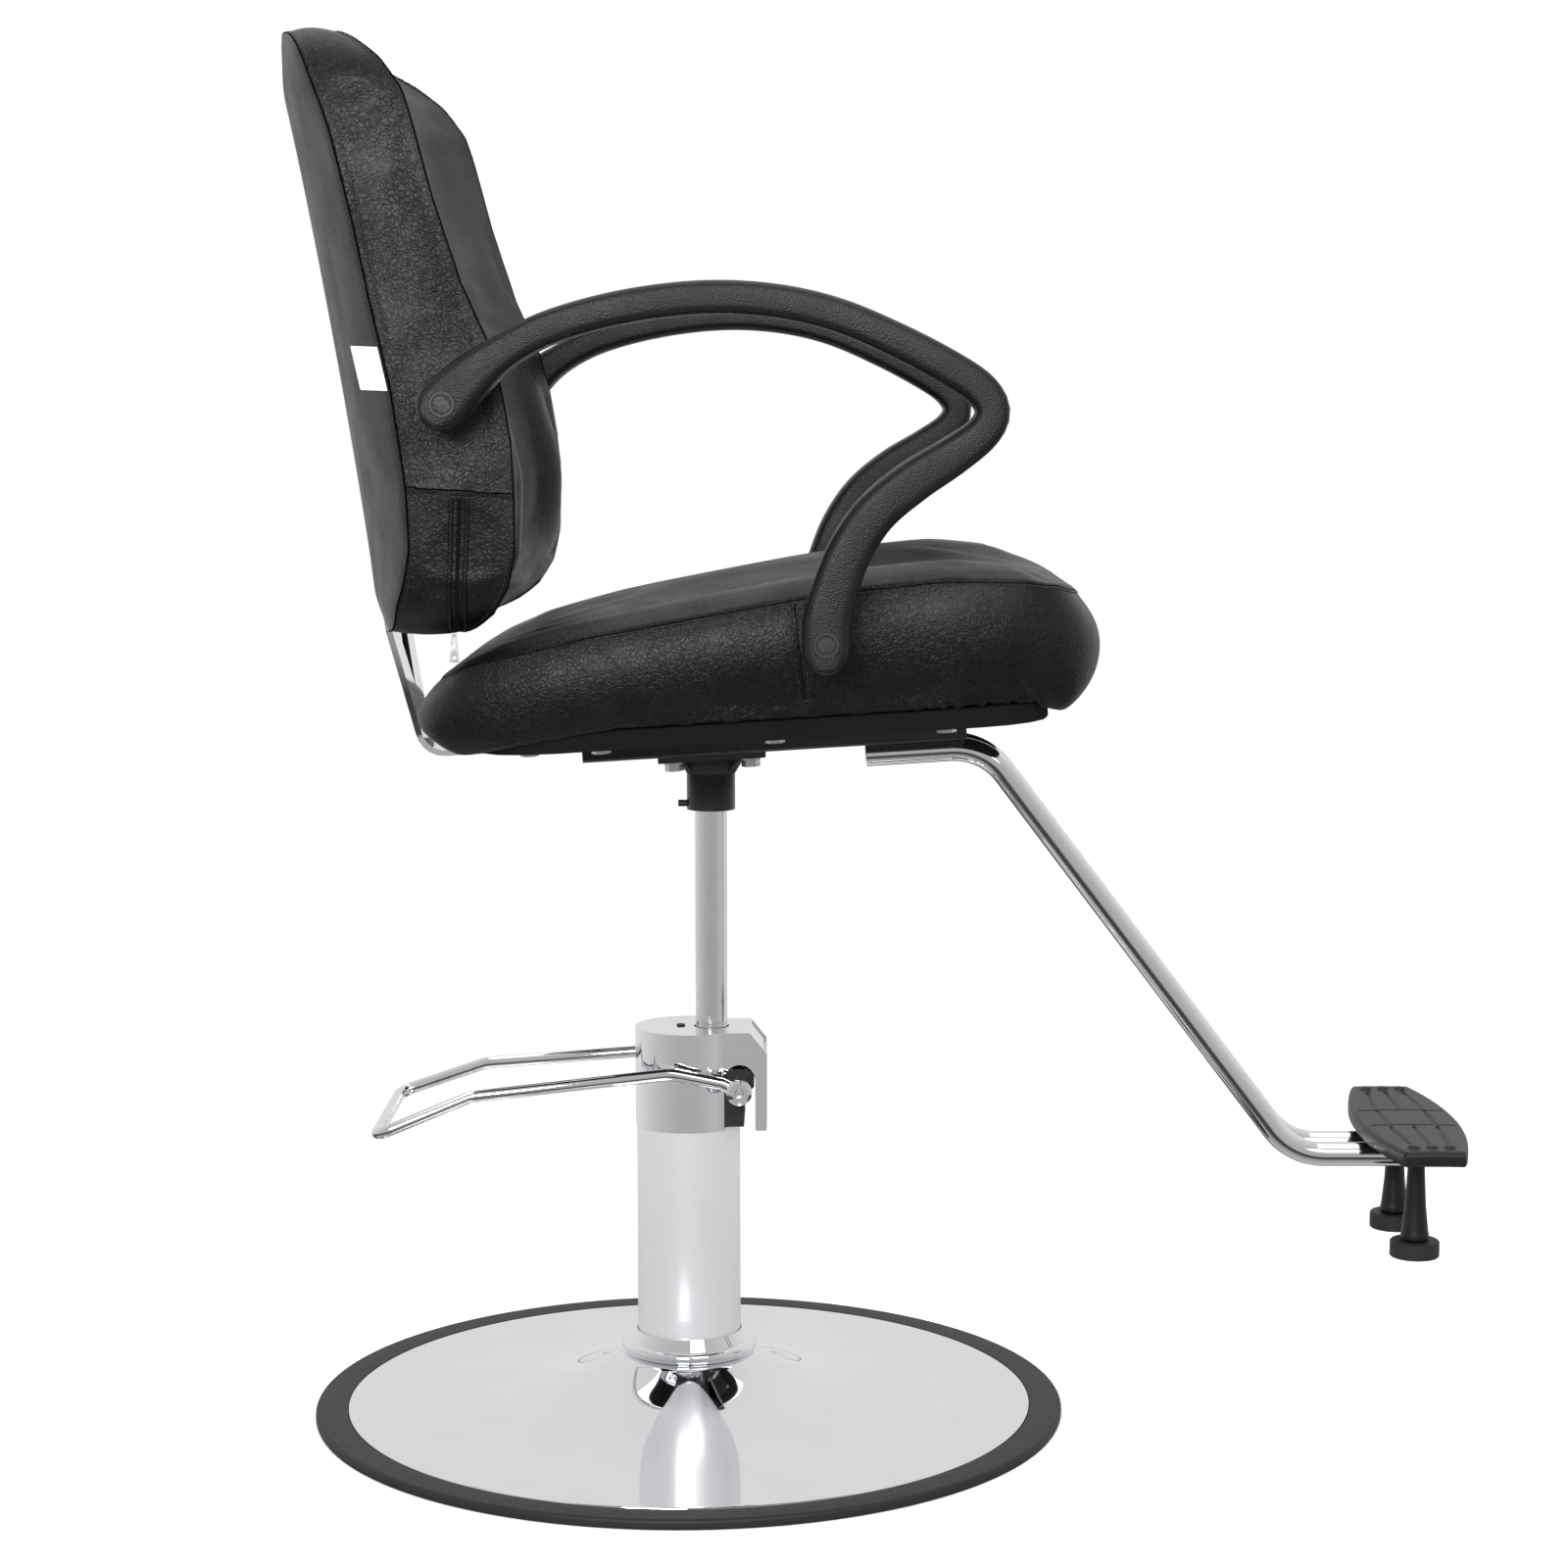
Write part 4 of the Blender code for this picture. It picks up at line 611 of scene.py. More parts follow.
SEAT_LONG = 0.2375        # half of the top panel, front to back
SEAT_WIDE = 0.2225        # half of the top panel, side to side
BOARD_TOP = 0.575
SEAT_SLOPE = math.tan(math.radians(3.6))
NOSE, TAIL, CHEEK = 0.025, 0.027, 0.010     # how far the boxing bulges in front, behind and beside
DISH = [(0.0, -1.3), (0.30, -0.9), (0.55, 0.0), (0.78, 0.95), (0.87, 1.0), (0.95, 0.60), (1.0, 0.0)]


def seat_place(u, v, w):
    """The stuffed seat before it swells: boxing, top panel with bolsters, flat underside."""
    x, y = squircle(u, v, 7.0)
    reach = max(abs(u), abs(v))
    belly = max(0.0, 1.0 - abs(w + 0.06) ** 2.2) * reach ** 4
    lean = -0.012 * (1.0 - w) / 2 * reach
    px = SEAT_MID + x * (SEAT_LONG + lean) + (NOSE if x > 0 else -TAIL) * belly * abs(x) ** 6
    py = y * (SEAT_WIDE + lean * 0.6) + math.copysign(CHEEK, y) * belly * abs(y) ** 6
    seam = along(SEAM_LINE, px)
    hem = along(SKIRT, px)
    under = BOARD_TOP + 0.0006 + SEAT_SLOPE * (px - RAM_X)
    ends = min(1.0, (1.0 - abs(u)) / 0.16)
    crown = along(CREST, px) * along(DISH, abs(v)) * ends if abs(w) > 0.999 else 0.0
    top = seam + (crown if w > 0 else 0.0)
    if w < -0.999:
        share = min(1.0, max(0.0, (reach - 0.90) / 0.10))
        low = under + (hem - under) * share ** 0.5 if hem < under else under
        low = min(low, hem) if reach > 0.97 else low
        return px, py, low
    return px, py, hem + (top - hem) * (w + 1.0) / 2


def rounds(level, place):
    """Points round a pad's edge at a level of its cube."""
    shares = [-1.0 + 2.0 * step / 160 for step in range(160)]
    edge = [(share, -1.0) for share in shares] + [(1.0, share) for share in shares]
    edge += [(-across, -up) for across, up in edge]
    return [Vector(place(across, up, level)) for across, up in edge]


seat_seam = rounds(0.998, seat_place)
CROSS_U = 0.090


def seat_cross(side, offset):
    """The seam across one side of the seat, moved along it by an offset."""
    points = []
    for step in range(41):
        w = -0.96 + 1.94 * step / 40
        x = CROSS_U - 0.005 * w + offset
        points.append(Vector(seat_place((x - SEAT_MID) / SEAT_LONG * 0.985, side, w)))
    return points


seat = piece_of("seat_upholstery", pad_shape(seat_place, (88, 86, 15)), leather,
                "seat", 60.0)
seat_seams = seat_seam + seat_cross(-1, 0.0) + seat_cross(1, 0.0)
seat_tree = stuffed(seat, seat_seams, lambda x, y, z: z < along(SKIRT, x) + 0.004)
sink_seams(seat, seat_tree, 0.0020, 0.0013)


def gather(piece, table, reach, depth, span, pitch):
    """Small slanted gathers where the skirt is pulled round the board."""
    mesh = piece.data
    places = places_of(mesh)
    low = np.interp(places[:, 0], *zip(*table))
    for index in np.flatnonzero((places[:, 2] - low < reach) & (np.abs(places[:, 1]) > 0.19)):
        vert = mesh.vertices[index]
        drop = max(vert.co.z - low[index], 0.0)
        x = vert.co.x + 0.9 * drop
        fade = (1.0 - drop / reach) ** 1.5
        inside = max(0.0, 1.0 - abs((vert.co.x - span[0]) / span[1]) ** 4)
        turn = math.tau * x / pitch
        wave = math.sin(turn) * (0.6 + 0.4 * math.sin(turn * 0.31)) + 0.5 * math.sin(turn * 1.7)
        vert.co += vert.normal * depth * fade * inside * wave
    mesh.update()


gather(seat, SKIRT, 0.026, 0.0016, (0.225, 0.060), 0.0155)
gather(seat, SKIRT, 0.014, 0.0006, (0.020, 0.150), 0.031)
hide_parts("seat_cushion")
seat_surface = surface_of(seat)
seat_rows = [rounds(0.93, seat_place)]
for side in (-1, 1):
    seat_rows += [seat_cross(side, -0.0035), seat_cross(side, 0.0035)]
stitched("seat_stitching", seat_surface, seat_rows, "seat")
# Near-black tubes along the seat's seams: painted shade.
seam_shade_tubes("seat_seam_painted_shade", seat_surface,
        [seat_seam + seat_seam[:1], seat_cross(-1, 0.0), seat_cross(1, 0.0)], "seat")


# ------------ back
# The back is curved plywood with foam in front: a flat rear panel, a boxing round the edge and a
# front panel that swells at the sitter's waist. A band is sewn across each side, with a zip below.

BACK_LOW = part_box("back_panel")[0][2] - 0.004
BACK_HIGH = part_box("back_panel")[1][2] + 0.008
BACK_WIDE = 0.2355
BACK_INSET = 0.0080      # the seams lie this far inside the swollen sides
BACK_WRAP = 0.058
PANEL_THICK = 0.014


def back_rear(height):
    """X of the rear middle line of the back."""
    share = (height - BACK_LOW) / (BACK_HIGH - BACK_LOW)
    return -0.236 - 0.068 * share - 0.010 * share ** 3


# by height: how curved the rear is, the front at the sides and in the middle, and the swellings
WRAP_SHARE = [(0.632, 0.50), (0.646, 0.60), (0.675, 0.80), (0.703, 0.93), (0.747, 1.0), (0.815, 1.02),
              (0.877, 0.96), (0.939, 0.93), (1.001, 0.88), (1.049, 0.78), (1.081, 0.70)]
FRONT_SIDE = [(0.632, -0.170), (0.637, -0.152), (0.644, -0.139), (0.655, -0.128), (0.675, -0.119),
              (0.700, -0.1155), (0.738, -0.1160), (0.780, -0.118), (0.815, -0.124), (0.849, -0.133),
              (0.891, -0.152), (0.952, -0.172), (1.027, -0.191), (1.050, -0.205), (1.066, -0.222),
              (1.081, -0.245)]
FRONT_MIDDLE = [(0.632, 0.046), (0.650, 0.060), (0.675, 0.072), (0.700, 0.077), (0.750, 0.078),
                (0.900, 0.062), (1.050, 0.044), (1.081, 0.034)]
WAIST = [(0.632, 0.002), (0.660, 0.006), (0.749, 0.015), (0.816, 0.012), (0.873, 0.007),
         (1.075, 0.004)]
SIDE_ROLL = [(0.640, 0.002), (0.660, 0.007), (0.690, 0.012), (0.760, 0.012), (0.830, 0.006),
             (0.900, 0.002), (1.081, 0.001)]
TOP_ROLL = 0.0090         # how far the ends of the rear panel turn in
FOOT_ROLL = 0.0070
SEAM_EDGE = 0.0020        # the rear panel's edge at the seam
BACK_MID = (BACK_LOW + BACK_HIGH) / 2
BACK_TALL = (BACK_HIGH - BACK_LOW) / 2 - 0.006


def step_up(value, start, end):
    """0 before start, 1 after end, smooth between."""
    share = min(1.0, max(0.0, (value - start) / (end - start)))
    return share * share * (3.0 - 2.0 * share)


def rear_face(y, height):
    """X of the back's rear surface: curved round the sitter, less so at its ends."""
    roll = TOP_ROLL * step_up(height, 1.030, 1.085) * (1.0 - 0.5 * y * y)
    roll += FOOT_ROLL * (1.0 - step_up(height, BACK_LOW, BACK_LOW + 0.035))
    return back_rear(height) + BACK_WRAP * along(WRAP_SHARE, height) * y * y + roll


def back_place(a, b, c):
    """The stuffed front of the back: a across, b up, c from the rear panel to the front."""
    y, z = squircle(a, b, 8.0)
    reach = max(abs(a), abs(b))
    height = BACK_MID + BACK_TALL * z
    belly = max(0.0, 1.0 - abs(c) ** 2.0) * reach ** 6
    py = y * (BACK_WIDE - BACK_INSET) + math.copysign(0.003, y) * belly * abs(y) ** 6
    rear = rear_face(y, height) + PANEL_THICK + 0.0006
    rear -= (PANEL_THICK - 0.0014) * step_up(reach, 0.87, 0.97)
    middle = back_rear(height) + PANEL_THICK + along(FRONT_MIDDLE, height)
    blend = y * y
    front = middle * (1.0 - blend) + along(FRONT_SIDE, height) * blend
    crown = along(WAIST, height) * (1.0 - step_up(reach, 0.70, 1.0) ** 2) if c > 0.999 else 0.0
    edge = min(1.0, (1.0 - reach) / 0.28)
    crown += along(SIDE_ROLL, height) * 4.0 * edge * (1.0 - edge) if c > 0.999 else 0.0
    height += math.copysign(0.004, z) * belly * abs(z) ** 6
    return rear + (front - rear) * (c + 1.0) / 2 + crown, py, height


def panel_place(a, b, c):
    """The rear panel: plywood under the cover, thin at its sewn edge."""
    y, z = squircle(a, b, 8.0)
    reach = max(abs(a), abs(b))
    height = BACK_MID + BACK_TALL * z
    turn_in = 0.0012 * step_up(reach, 0.975, 1.0) if c < 0 else 0.0
    thick = SEAM_EDGE - 0.0004 + (PANEL_THICK - SEAM_EDGE) * (1.0 - step_up(reach, 0.80, 0.87))
    rear = rear_face(y, height) + turn_in
    return rear + (thick - turn_in) * (c + 1.0) / 2, y * (BACK_WIDE - BACK_INSET + 0.0001), height


back = piece_of("back_upholstery", pad_shape(back_place, (86, 82, 16)), leather,
                "seat", 60.0)
front_seam = rounds(0.998, back_place)
rear_seam = rounds(-0.998, back_place)
BAND_Z = 0.7440


def side_line(side, low, high, start, end):
    """Points on one side of the back, from height low at level start to high at end."""
    points = []
    for step in range(61):
        share = step / 60
        height = low + (high - low) * share
        level = start + (end - start) * share
        points.append(Vector(back_place(side, (height - BACK_MID) / BACK_TALL * 0.999, level)))
    return points


band_seams = [side_line(side, BAND_Z + 0.003, BAND_Z - 0.002, -0.97, 0.97) for side in (-1, 1)]
back_tree = stuffed(back, front_seam + rear_seam + band_seams[0] + band_seams[1],
                    lambda x, y, z: x < rear_face(y / BACK_WIDE, z) + PANEL_THICK + 0.002)
sink_seams(back, back_tree, 0.0020, 0.0012)
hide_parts("back_cushion")

panel = piece_of("back_rear_panel", pad_shape(panel_place, (70, 70, 3)), leather,
                 "seat", 60.0)
refine(panel)
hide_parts("back_panel")

back_surface = surface_of(back)
back_rows = [rounds(0.90, back_place), rounds(-0.90, back_place)]
for side in (-1, 1):
    back_rows.append(side_line(side, BAND_Z + 0.0075, BAND_Z + 0.0025, -0.93, 0.93))
    back_rows.append(side_line(side, BAND_Z - 0.0015, BAND_Z - 0.0065, -0.93, 0.93))
stitched("back_stitching", back_surface, back_rows, "seat")
# Near-black tubes along the back's seams: painted shade.
seam_shade_tubes("back_seam_painted_shade", back_surface,
        [front_seam + front_seam[:1], rear_seam + rear_seam[:1]] + band_seams, "seat")


# ------------ zip, pull and tag
# A short coil zip runs down the near side of the back between two piped lips. Its flat pull hangs
# below. A plain woven tag is caught in the rear seam; it carries no lettering.

def lip(name, top, foot, radius, material):
    """A cord sewn down the near side of the back, from one (x, z) to another."""
    points = []
    for step in range(25):
        x, z = (top[axis] + (foot[axis] - top[axis]) * step / 24 for axis in (0, 1))
        spot = back_surface.ray_cast(Vector((x, -0.40, z)), Vector((0.0, 1.0, 0.0)))[0]
        if spot is not None:
            points.append(spot + Vector((0.0, radius * 0.25, 0.0)))
    piece_of(name, tube_mesh(points, radius, sides=12), material, "seat")


def thicken(shape, thick):
    """Give a flat shape a thickness across the chair."""
    made = bmesh.ops.extrude_face_region(shape, geom=shape.faces[:])["geom"]
    bmesh.ops.translate(shape, vec=(0.0, thick, 0.0),
                        verts=[item for item in made if isinstance(item, bmesh.types.BMVert)])
    bmesh.ops.recalc_face_normals(shape, faces=shape.faces)


ZIP_TOP = 0.7385
ZIP_FOOT = 0.6440
lip("zip_lip_rear", (-0.1605, ZIP_TOP), (-0.1650, ZIP_FOOT), 0.0019, leather)
lip("zip_lip_front", (-0.1490, ZIP_TOP), (-0.1540, ZIP_FOOT), 0.0019, leather)
tape = mottled("black zip tape", "#050505", "#0e0e0e", 0.8, (0.8, 0.95), 0.08,
               Specular_IOR_Level=0.1)    # matt weave
lip("zip_coil", (-0.1548, ZIP_TOP), (-0.1595, ZIP_FOOT), 0.0016, tape)

pull_low, pull_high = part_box("zip_pull")
pull_x, pull_y = (pull_low[0] + pull_high[0]) / 2, (pull_low[1] + pull_high[1]) / 2
pull_wide = (pull_high[0] - pull_low[0]) / 2
PULL_TOP = 0.6420         # reaches up to the slider under the back
PULL_THICK = 0.0012
pull_shape = bmesh.new()
outline = bmesh.ops.create_circle(pull_shape, segments=32, radius=1.0)["verts"]
hole = bmesh.ops.create_circle(pull_shape, segments=32, radius=1.0)["verts"]
for vert in outline:
    away = max(abs(vert.co.x), abs(vert.co.y))
    x, z = vert.co.x / away, vert.co.y / away
    narrow = 0.70 - 0.30 * z
    vert.co = (pull_x + x * narrow * pull_wide, pull_y - PULL_THICK / 2,
               (pull_low[2] + PULL_TOP) / 2 + z * (PULL_TOP - pull_low[2]) / 2)
for vert in hole:
    vert.co = (pull_x + vert.co.x * pull_wide * 0.42, pull_y - PULL_THICK / 2,
               pull_low[2] + pull_wide * 0.95 + vert.co.y * pull_wide * 0.42)
bmesh.ops.bridge_loops(pull_shape, edges=pull_shape.edges[:])
thicken(pull_shape, PULL_THICK)
pull = piece_of("zip_pull_tab", pull_shape, zinc, "seat")
ease_edges(pull, 0.2)
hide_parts("zip_pull")

woven = finish_of("white woven label", Roughness=0.8)
woven_place = add(woven, "TexCoord").outputs["Object"]
weft = add(woven, "TexWave", {"Vector": woven_place, "Scale": 260.0}, bands_direction="Z")
woven_tone = add(woven, "Mix", {"Factor": weft.outputs["Fac"], "A": linear("#dcdcdc"),
                                "B": linear("#f4f4f4")}, data_type="RGBA")
woven_bump = add(woven, "Bump", {"Height": weft.outputs["Fac"], "Strength": 0.4, "Distance": 0.0002})
finish(woven, Base_Color=woven_tone.outputs["Result"], Normal=woven_bump.outputs["Normal"])

TAG_LOW, TAG_HIGH = 0.8155, 0.8465
TAG_DEEP = 0.0195
tag_shape = bmesh.new()
bmesh.ops.create_grid(tag_shape, x_segments=8, y_segments=8, size=1.0)
for vert in tag_shape.verts:
    share = (vert.co.x + 1.0) / 2
    level = TAG_LOW + (TAG_HIGH - TAG_LOW) * (vert.co.y + 1.0) / 2
    vert.co = (rear_face(1.0, level) - TAG_DEEP * share,
               BACK_INSET - BACK_WIDE - 0.0016 + 0.0030 * share * share, level + 0.0008 * share)
thicken(tag_shape, 0.0006)
piece_of("back_tag", tag_shape, woven, "seat")


# ------------ back bracket
# Flat chromed bar, bent up behind the seat and split into two prongs that are bolted to the
# plywood inside the back.

remade("back_bracket", "back_bracket_bar", chrome, "seat", 0.7)


# ------------ arms
# Each arm is one moulding of self-skinned foam over a steel core, with a fine pebbled skin and
# rounded edges. A round plug covers the bolt at each end.

foam_skin = finish_of("self-skinned black foam", Specular_IOR_Level=0.34)
foam_place = add(foam_skin, "TexCoord").outputs["Object"]
dimples = add(foam_skin, "TexVoronoi", {"Vector": foam_place, "Scale": 1000.0 / 1.3})    # in mm
blush = add(foam_skin, "TexNoise", {"Vector": foam_place, "Scale": 40.0, "Detail": 4.0})
foam_bump = add(foam_skin, "Bump", {"Height": dimples.outputs["Distance"], "Strength": 0.8,
                                    "Distance": 0.00030})
foam_tone = add(foam_skin, "Mix", {"Factor": blush.outputs["Fac"], "A": linear("#0a0a0a"),
                                   "B": linear("#121212")}, data_type="RGBA")
foam_gloss = add(foam_skin, "MapRange", {"Value": blush.outputs["Fac"], "From Min": 0.3,
                                         "From Max": 0.7, "To Min": 0.38, "To Max": 0.50})
finish(foam_skin, Base_Color=foam_tone.outputs["Result"], Roughness=foam_gloss.outputs["Result"],
       Normal=foam_bump.outputs["Normal"])

# x, height and half thickness, from the rear bolt over the top to the front bolt
ARM_LINE = [(-0.1738, 0.7924, 0.0190), (-0.1605, 0.8060, 0.0190), (-0.1440, 0.8230, 0.0165),
            (-0.1190, 0.8425, 0.0125), (-0.0850, 0.8600, 0.0118),
            (-0.0350, 0.8735, 0.0118), (0.0200, 0.8802, 0.0118), (0.0700, 0.8780, 0.0118),
            (0.1150, 0.8680, 0.0118), (0.1600, 0.8490, 0.0120), (0.1960, 0.8300, 0.0122),
            (0.2160, 0.8160, 0.0122), (0.2240, 0.8010, 0.0120), (0.2170, 0.7860, 0.0124),
            (0.1960, 0.7700, 0.0138), (0.1680, 0.7520, 0.0150), (0.1420, 0.7300, 0.0152),
            (0.1240, 0.7030, 0.0158), (0.1130, 0.6740, 0.0166), (0.1080, 0.6540, 0.0172),
            (0.1075, 0.6380, 0.0172), (0.1078, 0.6165, 0.0172)]
ARM_IN, ARM_OUT = 0.2400, 0.2880
ARM_SIDES = 40
ARM_CAPS = (0.0190, 0.0172)      # round ends, centred on the bolts
ARM_EDGE = 0.0050


def smooth_line(points, caps, count):
    """A smooth curve through points, at even steps that close up over its round ends."""
    points = [Vector(point) for point in points]
    ends = [points[0] * 2 - points[1]] + points + [points[-1] * 2 - points[-2]]
    fine = []
    for a, b, c, d in zip(ends, ends[1:], ends[2:], ends[3:]):
        for step in range(16):
            t = step / 16
            fine.append(((b * 2) + (c - a) * t + (a * 2 - b * 5 + c * 4 - d) * t * t
                         + (b * 3 - a - c * 3 + d) * t ** 3) * 0.5)
    fine.append(points[-1])
    fine = np.array(fine)
    runs = np.concatenate([[0.0], np.cumsum(np.linalg.norm(np.diff(fine[:, :2], axis=0), axis=1))])
    closing = 1.0 - np.cos(np.linspace(0.03, math.pi / 2, 13))
    spots = np.concatenate([caps[0] * closing, np.linspace(caps[0], runs[-1] - caps[1], count)[1:-1],
                            (runs[-1] - caps[1] * closing)[::-1]])
    line = np.stack([np.interp(spots, runs, fine[:, axis]) for axis in range(3)], axis=1)
    return line, spots, runs[-1]


arm_line, arm_spots, arm_length = smooth_line(ARM_LINE, ARM_CAPS, 126)


def rounding(distance, radius):
    """How full a round end is at a distance from its tip."""
    return math.sqrt(max(0.0, 1.0 - (1.0 - min(1.0, distance / radius)) ** 2))


def arm_shape(sign):
    """One arm: a soft-cornered section carried along the arm's line."""
    shape = bmesh.new()
    count = len(arm_line)
    bmesh.ops.create_grid(shape, x_segments=count - 1, y_segments=ARM_SIDES, size=1.0)
    for vert in shape.verts:
        index = round((vert.co.x + 1.0) / 2 * (count - 1))
        turn = math.pi * vert.co.y
        x, z, half = arm_line[index]
        ahead = arm_line[min(index + 1, count - 1)] - arm_line[max(index - 1, 0)]
        lead = Vector((ahead[0], ahead[1])).normalized()
        spot = arm_spots[index]
        tip = min(spot / ARM_CAPS[0], (arm_length - spot) / ARM_CAPS[1])
        half *= rounding(tip, 1.0)
        deep = (ARM_OUT - ARM_IN) / 2 - ARM_EDGE * (1.0 - rounding(tip * ARM_CAPS[0], ARM_EDGE))
        cosine, sine = math.cos(turn), math.sin(turn)
        reach = math.copysign(abs(cosine) ** 0.46, cosine) * half
        side = math.copysign(abs(sine) ** 0.34, sine) * deep
        vert.co = (x - lead.y * reach, sign * ((ARM_IN + ARM_OUT) / 2 + side), z + lead.x * reach)
    bmesh.ops.remove_doubles(shape, verts=shape.verts, dist=1e-5)
    bmesh.ops.holes_fill(shape, edges=shape.edges[:], sides=0)
    bmesh.ops.recalc_face_normals(shape, faces=shape.faces)
    return shape


for side, sign in (("left", 1), ("right", -1)):
    arm = piece_of("arm_moulding_" + side, arm_shape(sign), foam_skin, "seat", 60.0)
    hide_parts("arm_" + side)
    for end in ("rear", "front"):
        node = "arm_plug_" + side + "_" + end
        low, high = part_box(node)
        radius = (high[0] - low[0]) / 2
        thick = high[1] - low[1]
        cap_line = [(0.0, 0.0), (radius, 0.0), (radius, thick - 0.0008), (radius - 0.0008, thick),
                    (radius * 0.72, thick), (radius * 0.66, thick - 0.0007), (0.0, thick - 0.0004)]
        button = spun(cap_line, steps=64, closed=False)
        out = Matrix.Rotation(math.radians(-90 * sign), 4, "X")
        base_y = low[1] if sign > 0 else high[1]
        middle = ((low[0] + high[0]) / 2, base_y, (low[2] + high[2]) / 2)
        button.transform(Matrix.Translation(middle) @ out)
        plug = piece_of(node + "_button", button, nylon, "seat")
        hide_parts(node)


# ------------ footrest
# Two bent chromed tubes are welded under the channel. They carry a ribbed rubber-like moulded pad
# on a steel plate, and two tapered legs with round feet that a lowered seat can stand on.

TUBE_R = 0.0096
TUBE_WALL = 0.0015
FOOT_BEND = 0.050
UPPER_BEND_X, LOWER_BEND_X = 0.2340, 0.4810
TUBE_MIDDLE = 0.5599 - 0.0253 - TUBE_R      # height of the upper run's middle line over the ram
for side in ("left", "right"):
    low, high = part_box("footrest_tube_" + side)
    y = (low[1] + high[1]) / 2
    corners = [Vector((x, y, TUBE_MIDDLE + SEAT_SLOPE * (x - RAM_X)))
               for x in (low[0] + 0.0006, UPPER_BEND_X)]
    corners += [Vector((x, y, low[2] + TUBE_R)) for x in (LOWER_BEND_X, high[0])]
    tube = piece_of("footrest_bar_" + side, tube_mesh(bent(corners, [FOOT_BEND, FOOT_BEND]), TUBE_R,
                                                      TUBE_WALL, 28), chrome, "seat")
    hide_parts("footrest_tube_" + side)

polypropylene = mottled("moulded black polypropylene", "#0c0c0c", "#131314", 1.1, (0.36, 0.48), 0.05,
                        Specular_IOR_Level=0.34)    # fine mould texture

pad_low, pad_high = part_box("footrest_pad")
PAD_X = (pad_low[0] + pad_high[0]) / 2
PAD_HALF_LONG = (pad_high[1] - pad_low[1]) / 2
PAD_MIDDLE, PAD_END = 0.0415, 0.0250
PAD_GROOVE = 0.0016
PAD_CORNER = 0.0080
FRAME_X, FRAME_Y = 0.0190, 0.0270


def pad_half(y):
    """Half the foot pad's depth at a place along it, with its rounded corners."""
    over = max(0.0, abs(y) - (PAD_HALF_LONG - PAD_CORNER)) / PAD_CORNER
    corner = PAD_CORNER * (1.0 - math.sqrt(max(0.0, 1.0 - min(1.0, over) ** 2)))
    return PAD_MIDDLE - (PAD_MIDDLE - PAD_END) * (y / PAD_HALF_LONG) ** 2 - corner


def pad_relief(x, y):
    """The pad's moulded pattern: a framed field in the middle, long grooves and end studs."""
    away = abs(y)
    wide = PAD_MIDDLE - (PAD_MIDDLE - PAD_END) * (y / PAD_HALF_LONG) ** 2
    lines = [1.0]
    if away < FRAME_Y + 0.0015 and abs(x) < FRAME_X + 0.0015:
        lines += [abs(abs(x) - FRAME_X), abs(away - FRAME_Y)]
    if abs(x) > FRAME_X:
        lines.append(abs(away - FRAME_Y) if abs(x) < wide * 0.82 else 1.0)
    if FRAME_Y + 0.005 < away < 0.098:
        lines += [abs(x), abs(abs(x) - 0.46 * wide)]
    groove = -PAD_GROOVE * max(0.0, 1.0 - (min(lines) / 0.0017) ** 2)
    stud = 0.0
    for middle in (-0.48, 0.0, 0.48):
        gap = ((x - middle * wide) / 0.0052) ** 2 + ((away - 0.1085) / 0.0060) ** 2
        stud = max(stud, 0.0022 * max(0.0, 1.0 - gap ** 2))
    return groove + stud


pad_mesh = bmesh.new()
bmesh.ops.create_grid(pad_mesh, x_segments=100, y_segments=240, size=1.0)
for vert in pad_mesh.verts:
    y = vert.co.y * (PAD_HALF_LONG - 0.0045)
    x = vert.co.x * (pad_half(y) - 0.0045)
    vert.co = (PAD_X + x, y, pad_high[2] - 0.0016 + pad_relief(x, y) - 0.0012 * (x / PAD_MIDDLE) ** 2)
edges = [edge for edge in pad_mesh.edges if edge.is_boundary]
for drop, grow in ((-0.0004, 0.0018), (-0.0010, 0.0014), (-0.0014, 0.0010), (-0.0016, 0.0003),
                   (-0.0056, 0.0), (-0.0018, -0.0016)):
    made = bmesh.ops.extrude_edge_only(pad_mesh, edges=edges)["geom"]
    verts = [item for item in made if isinstance(item, bmesh.types.BMVert)]
    edges = [item for item in made if isinstance(item, bmesh.types.BMEdge)
             and all(vert in verts for vert in item.verts)]
    for vert in verts:
        vert.co = (PAD_X + (vert.co.x - PAD_X) * (1.0 + grow / 0.05),
                   vert.co.y * (1.0 + grow / 0.125), vert.co.z + drop)
bmesh.ops.holes_fill(pad_mesh, edges=edges, sides=0)
bmesh.ops.recalc_face_normals(pad_mesh, faces=pad_mesh.faces)
foot_pad = piece_of("foot_pad", pad_mesh, polypropylene, "seat", 35.0)
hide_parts("footrest_pad")

for side in ("left", "right"):
    low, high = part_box("footrest_leg_" + side)
    middle = ((low[0] + high[0]) / 2, (low[1] + high[1]) / 2)
    wide = (high[0] - low[0]) / 2
    leg_line = [(0.0, low[2]), (wide, low[2]), (wide, low[2] + 0.004), (wide * 0.93, low[2] + 0.008),
                (wide * 0.74, low[2] + 0.028), (wide * 0.60, high[2] - 0.014), (wide * 0.58, high[2]),
                (0.0, high[2])]
    leg = piece_of("foot_leg_" + side, spun(eased(leg_line, 0.003), middle, 64, closed=False),
                   polypropylene, "seat")
    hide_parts("footrest_leg_" + side)
    low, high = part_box("footrest_foot_" + side)
    wide = (high[0] - low[0]) / 2
    foot_line = [(0.0, low[2]), (wide - 0.0008, low[2]), (wide, low[2] + 0.0008),
                 (wide, high[2] - 0.0012), (wide - 0.0012, high[2]), (0.0, high[2])]
    foot = piece_of("foot_button_" + side, spun(foot_line, middle, 72, closed=False),
                    rubber, "seat")
    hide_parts("footrest_foot_" + side)


# ------------ studio
# A white floor, soft lights and the camera. None of it belongs to the chair.

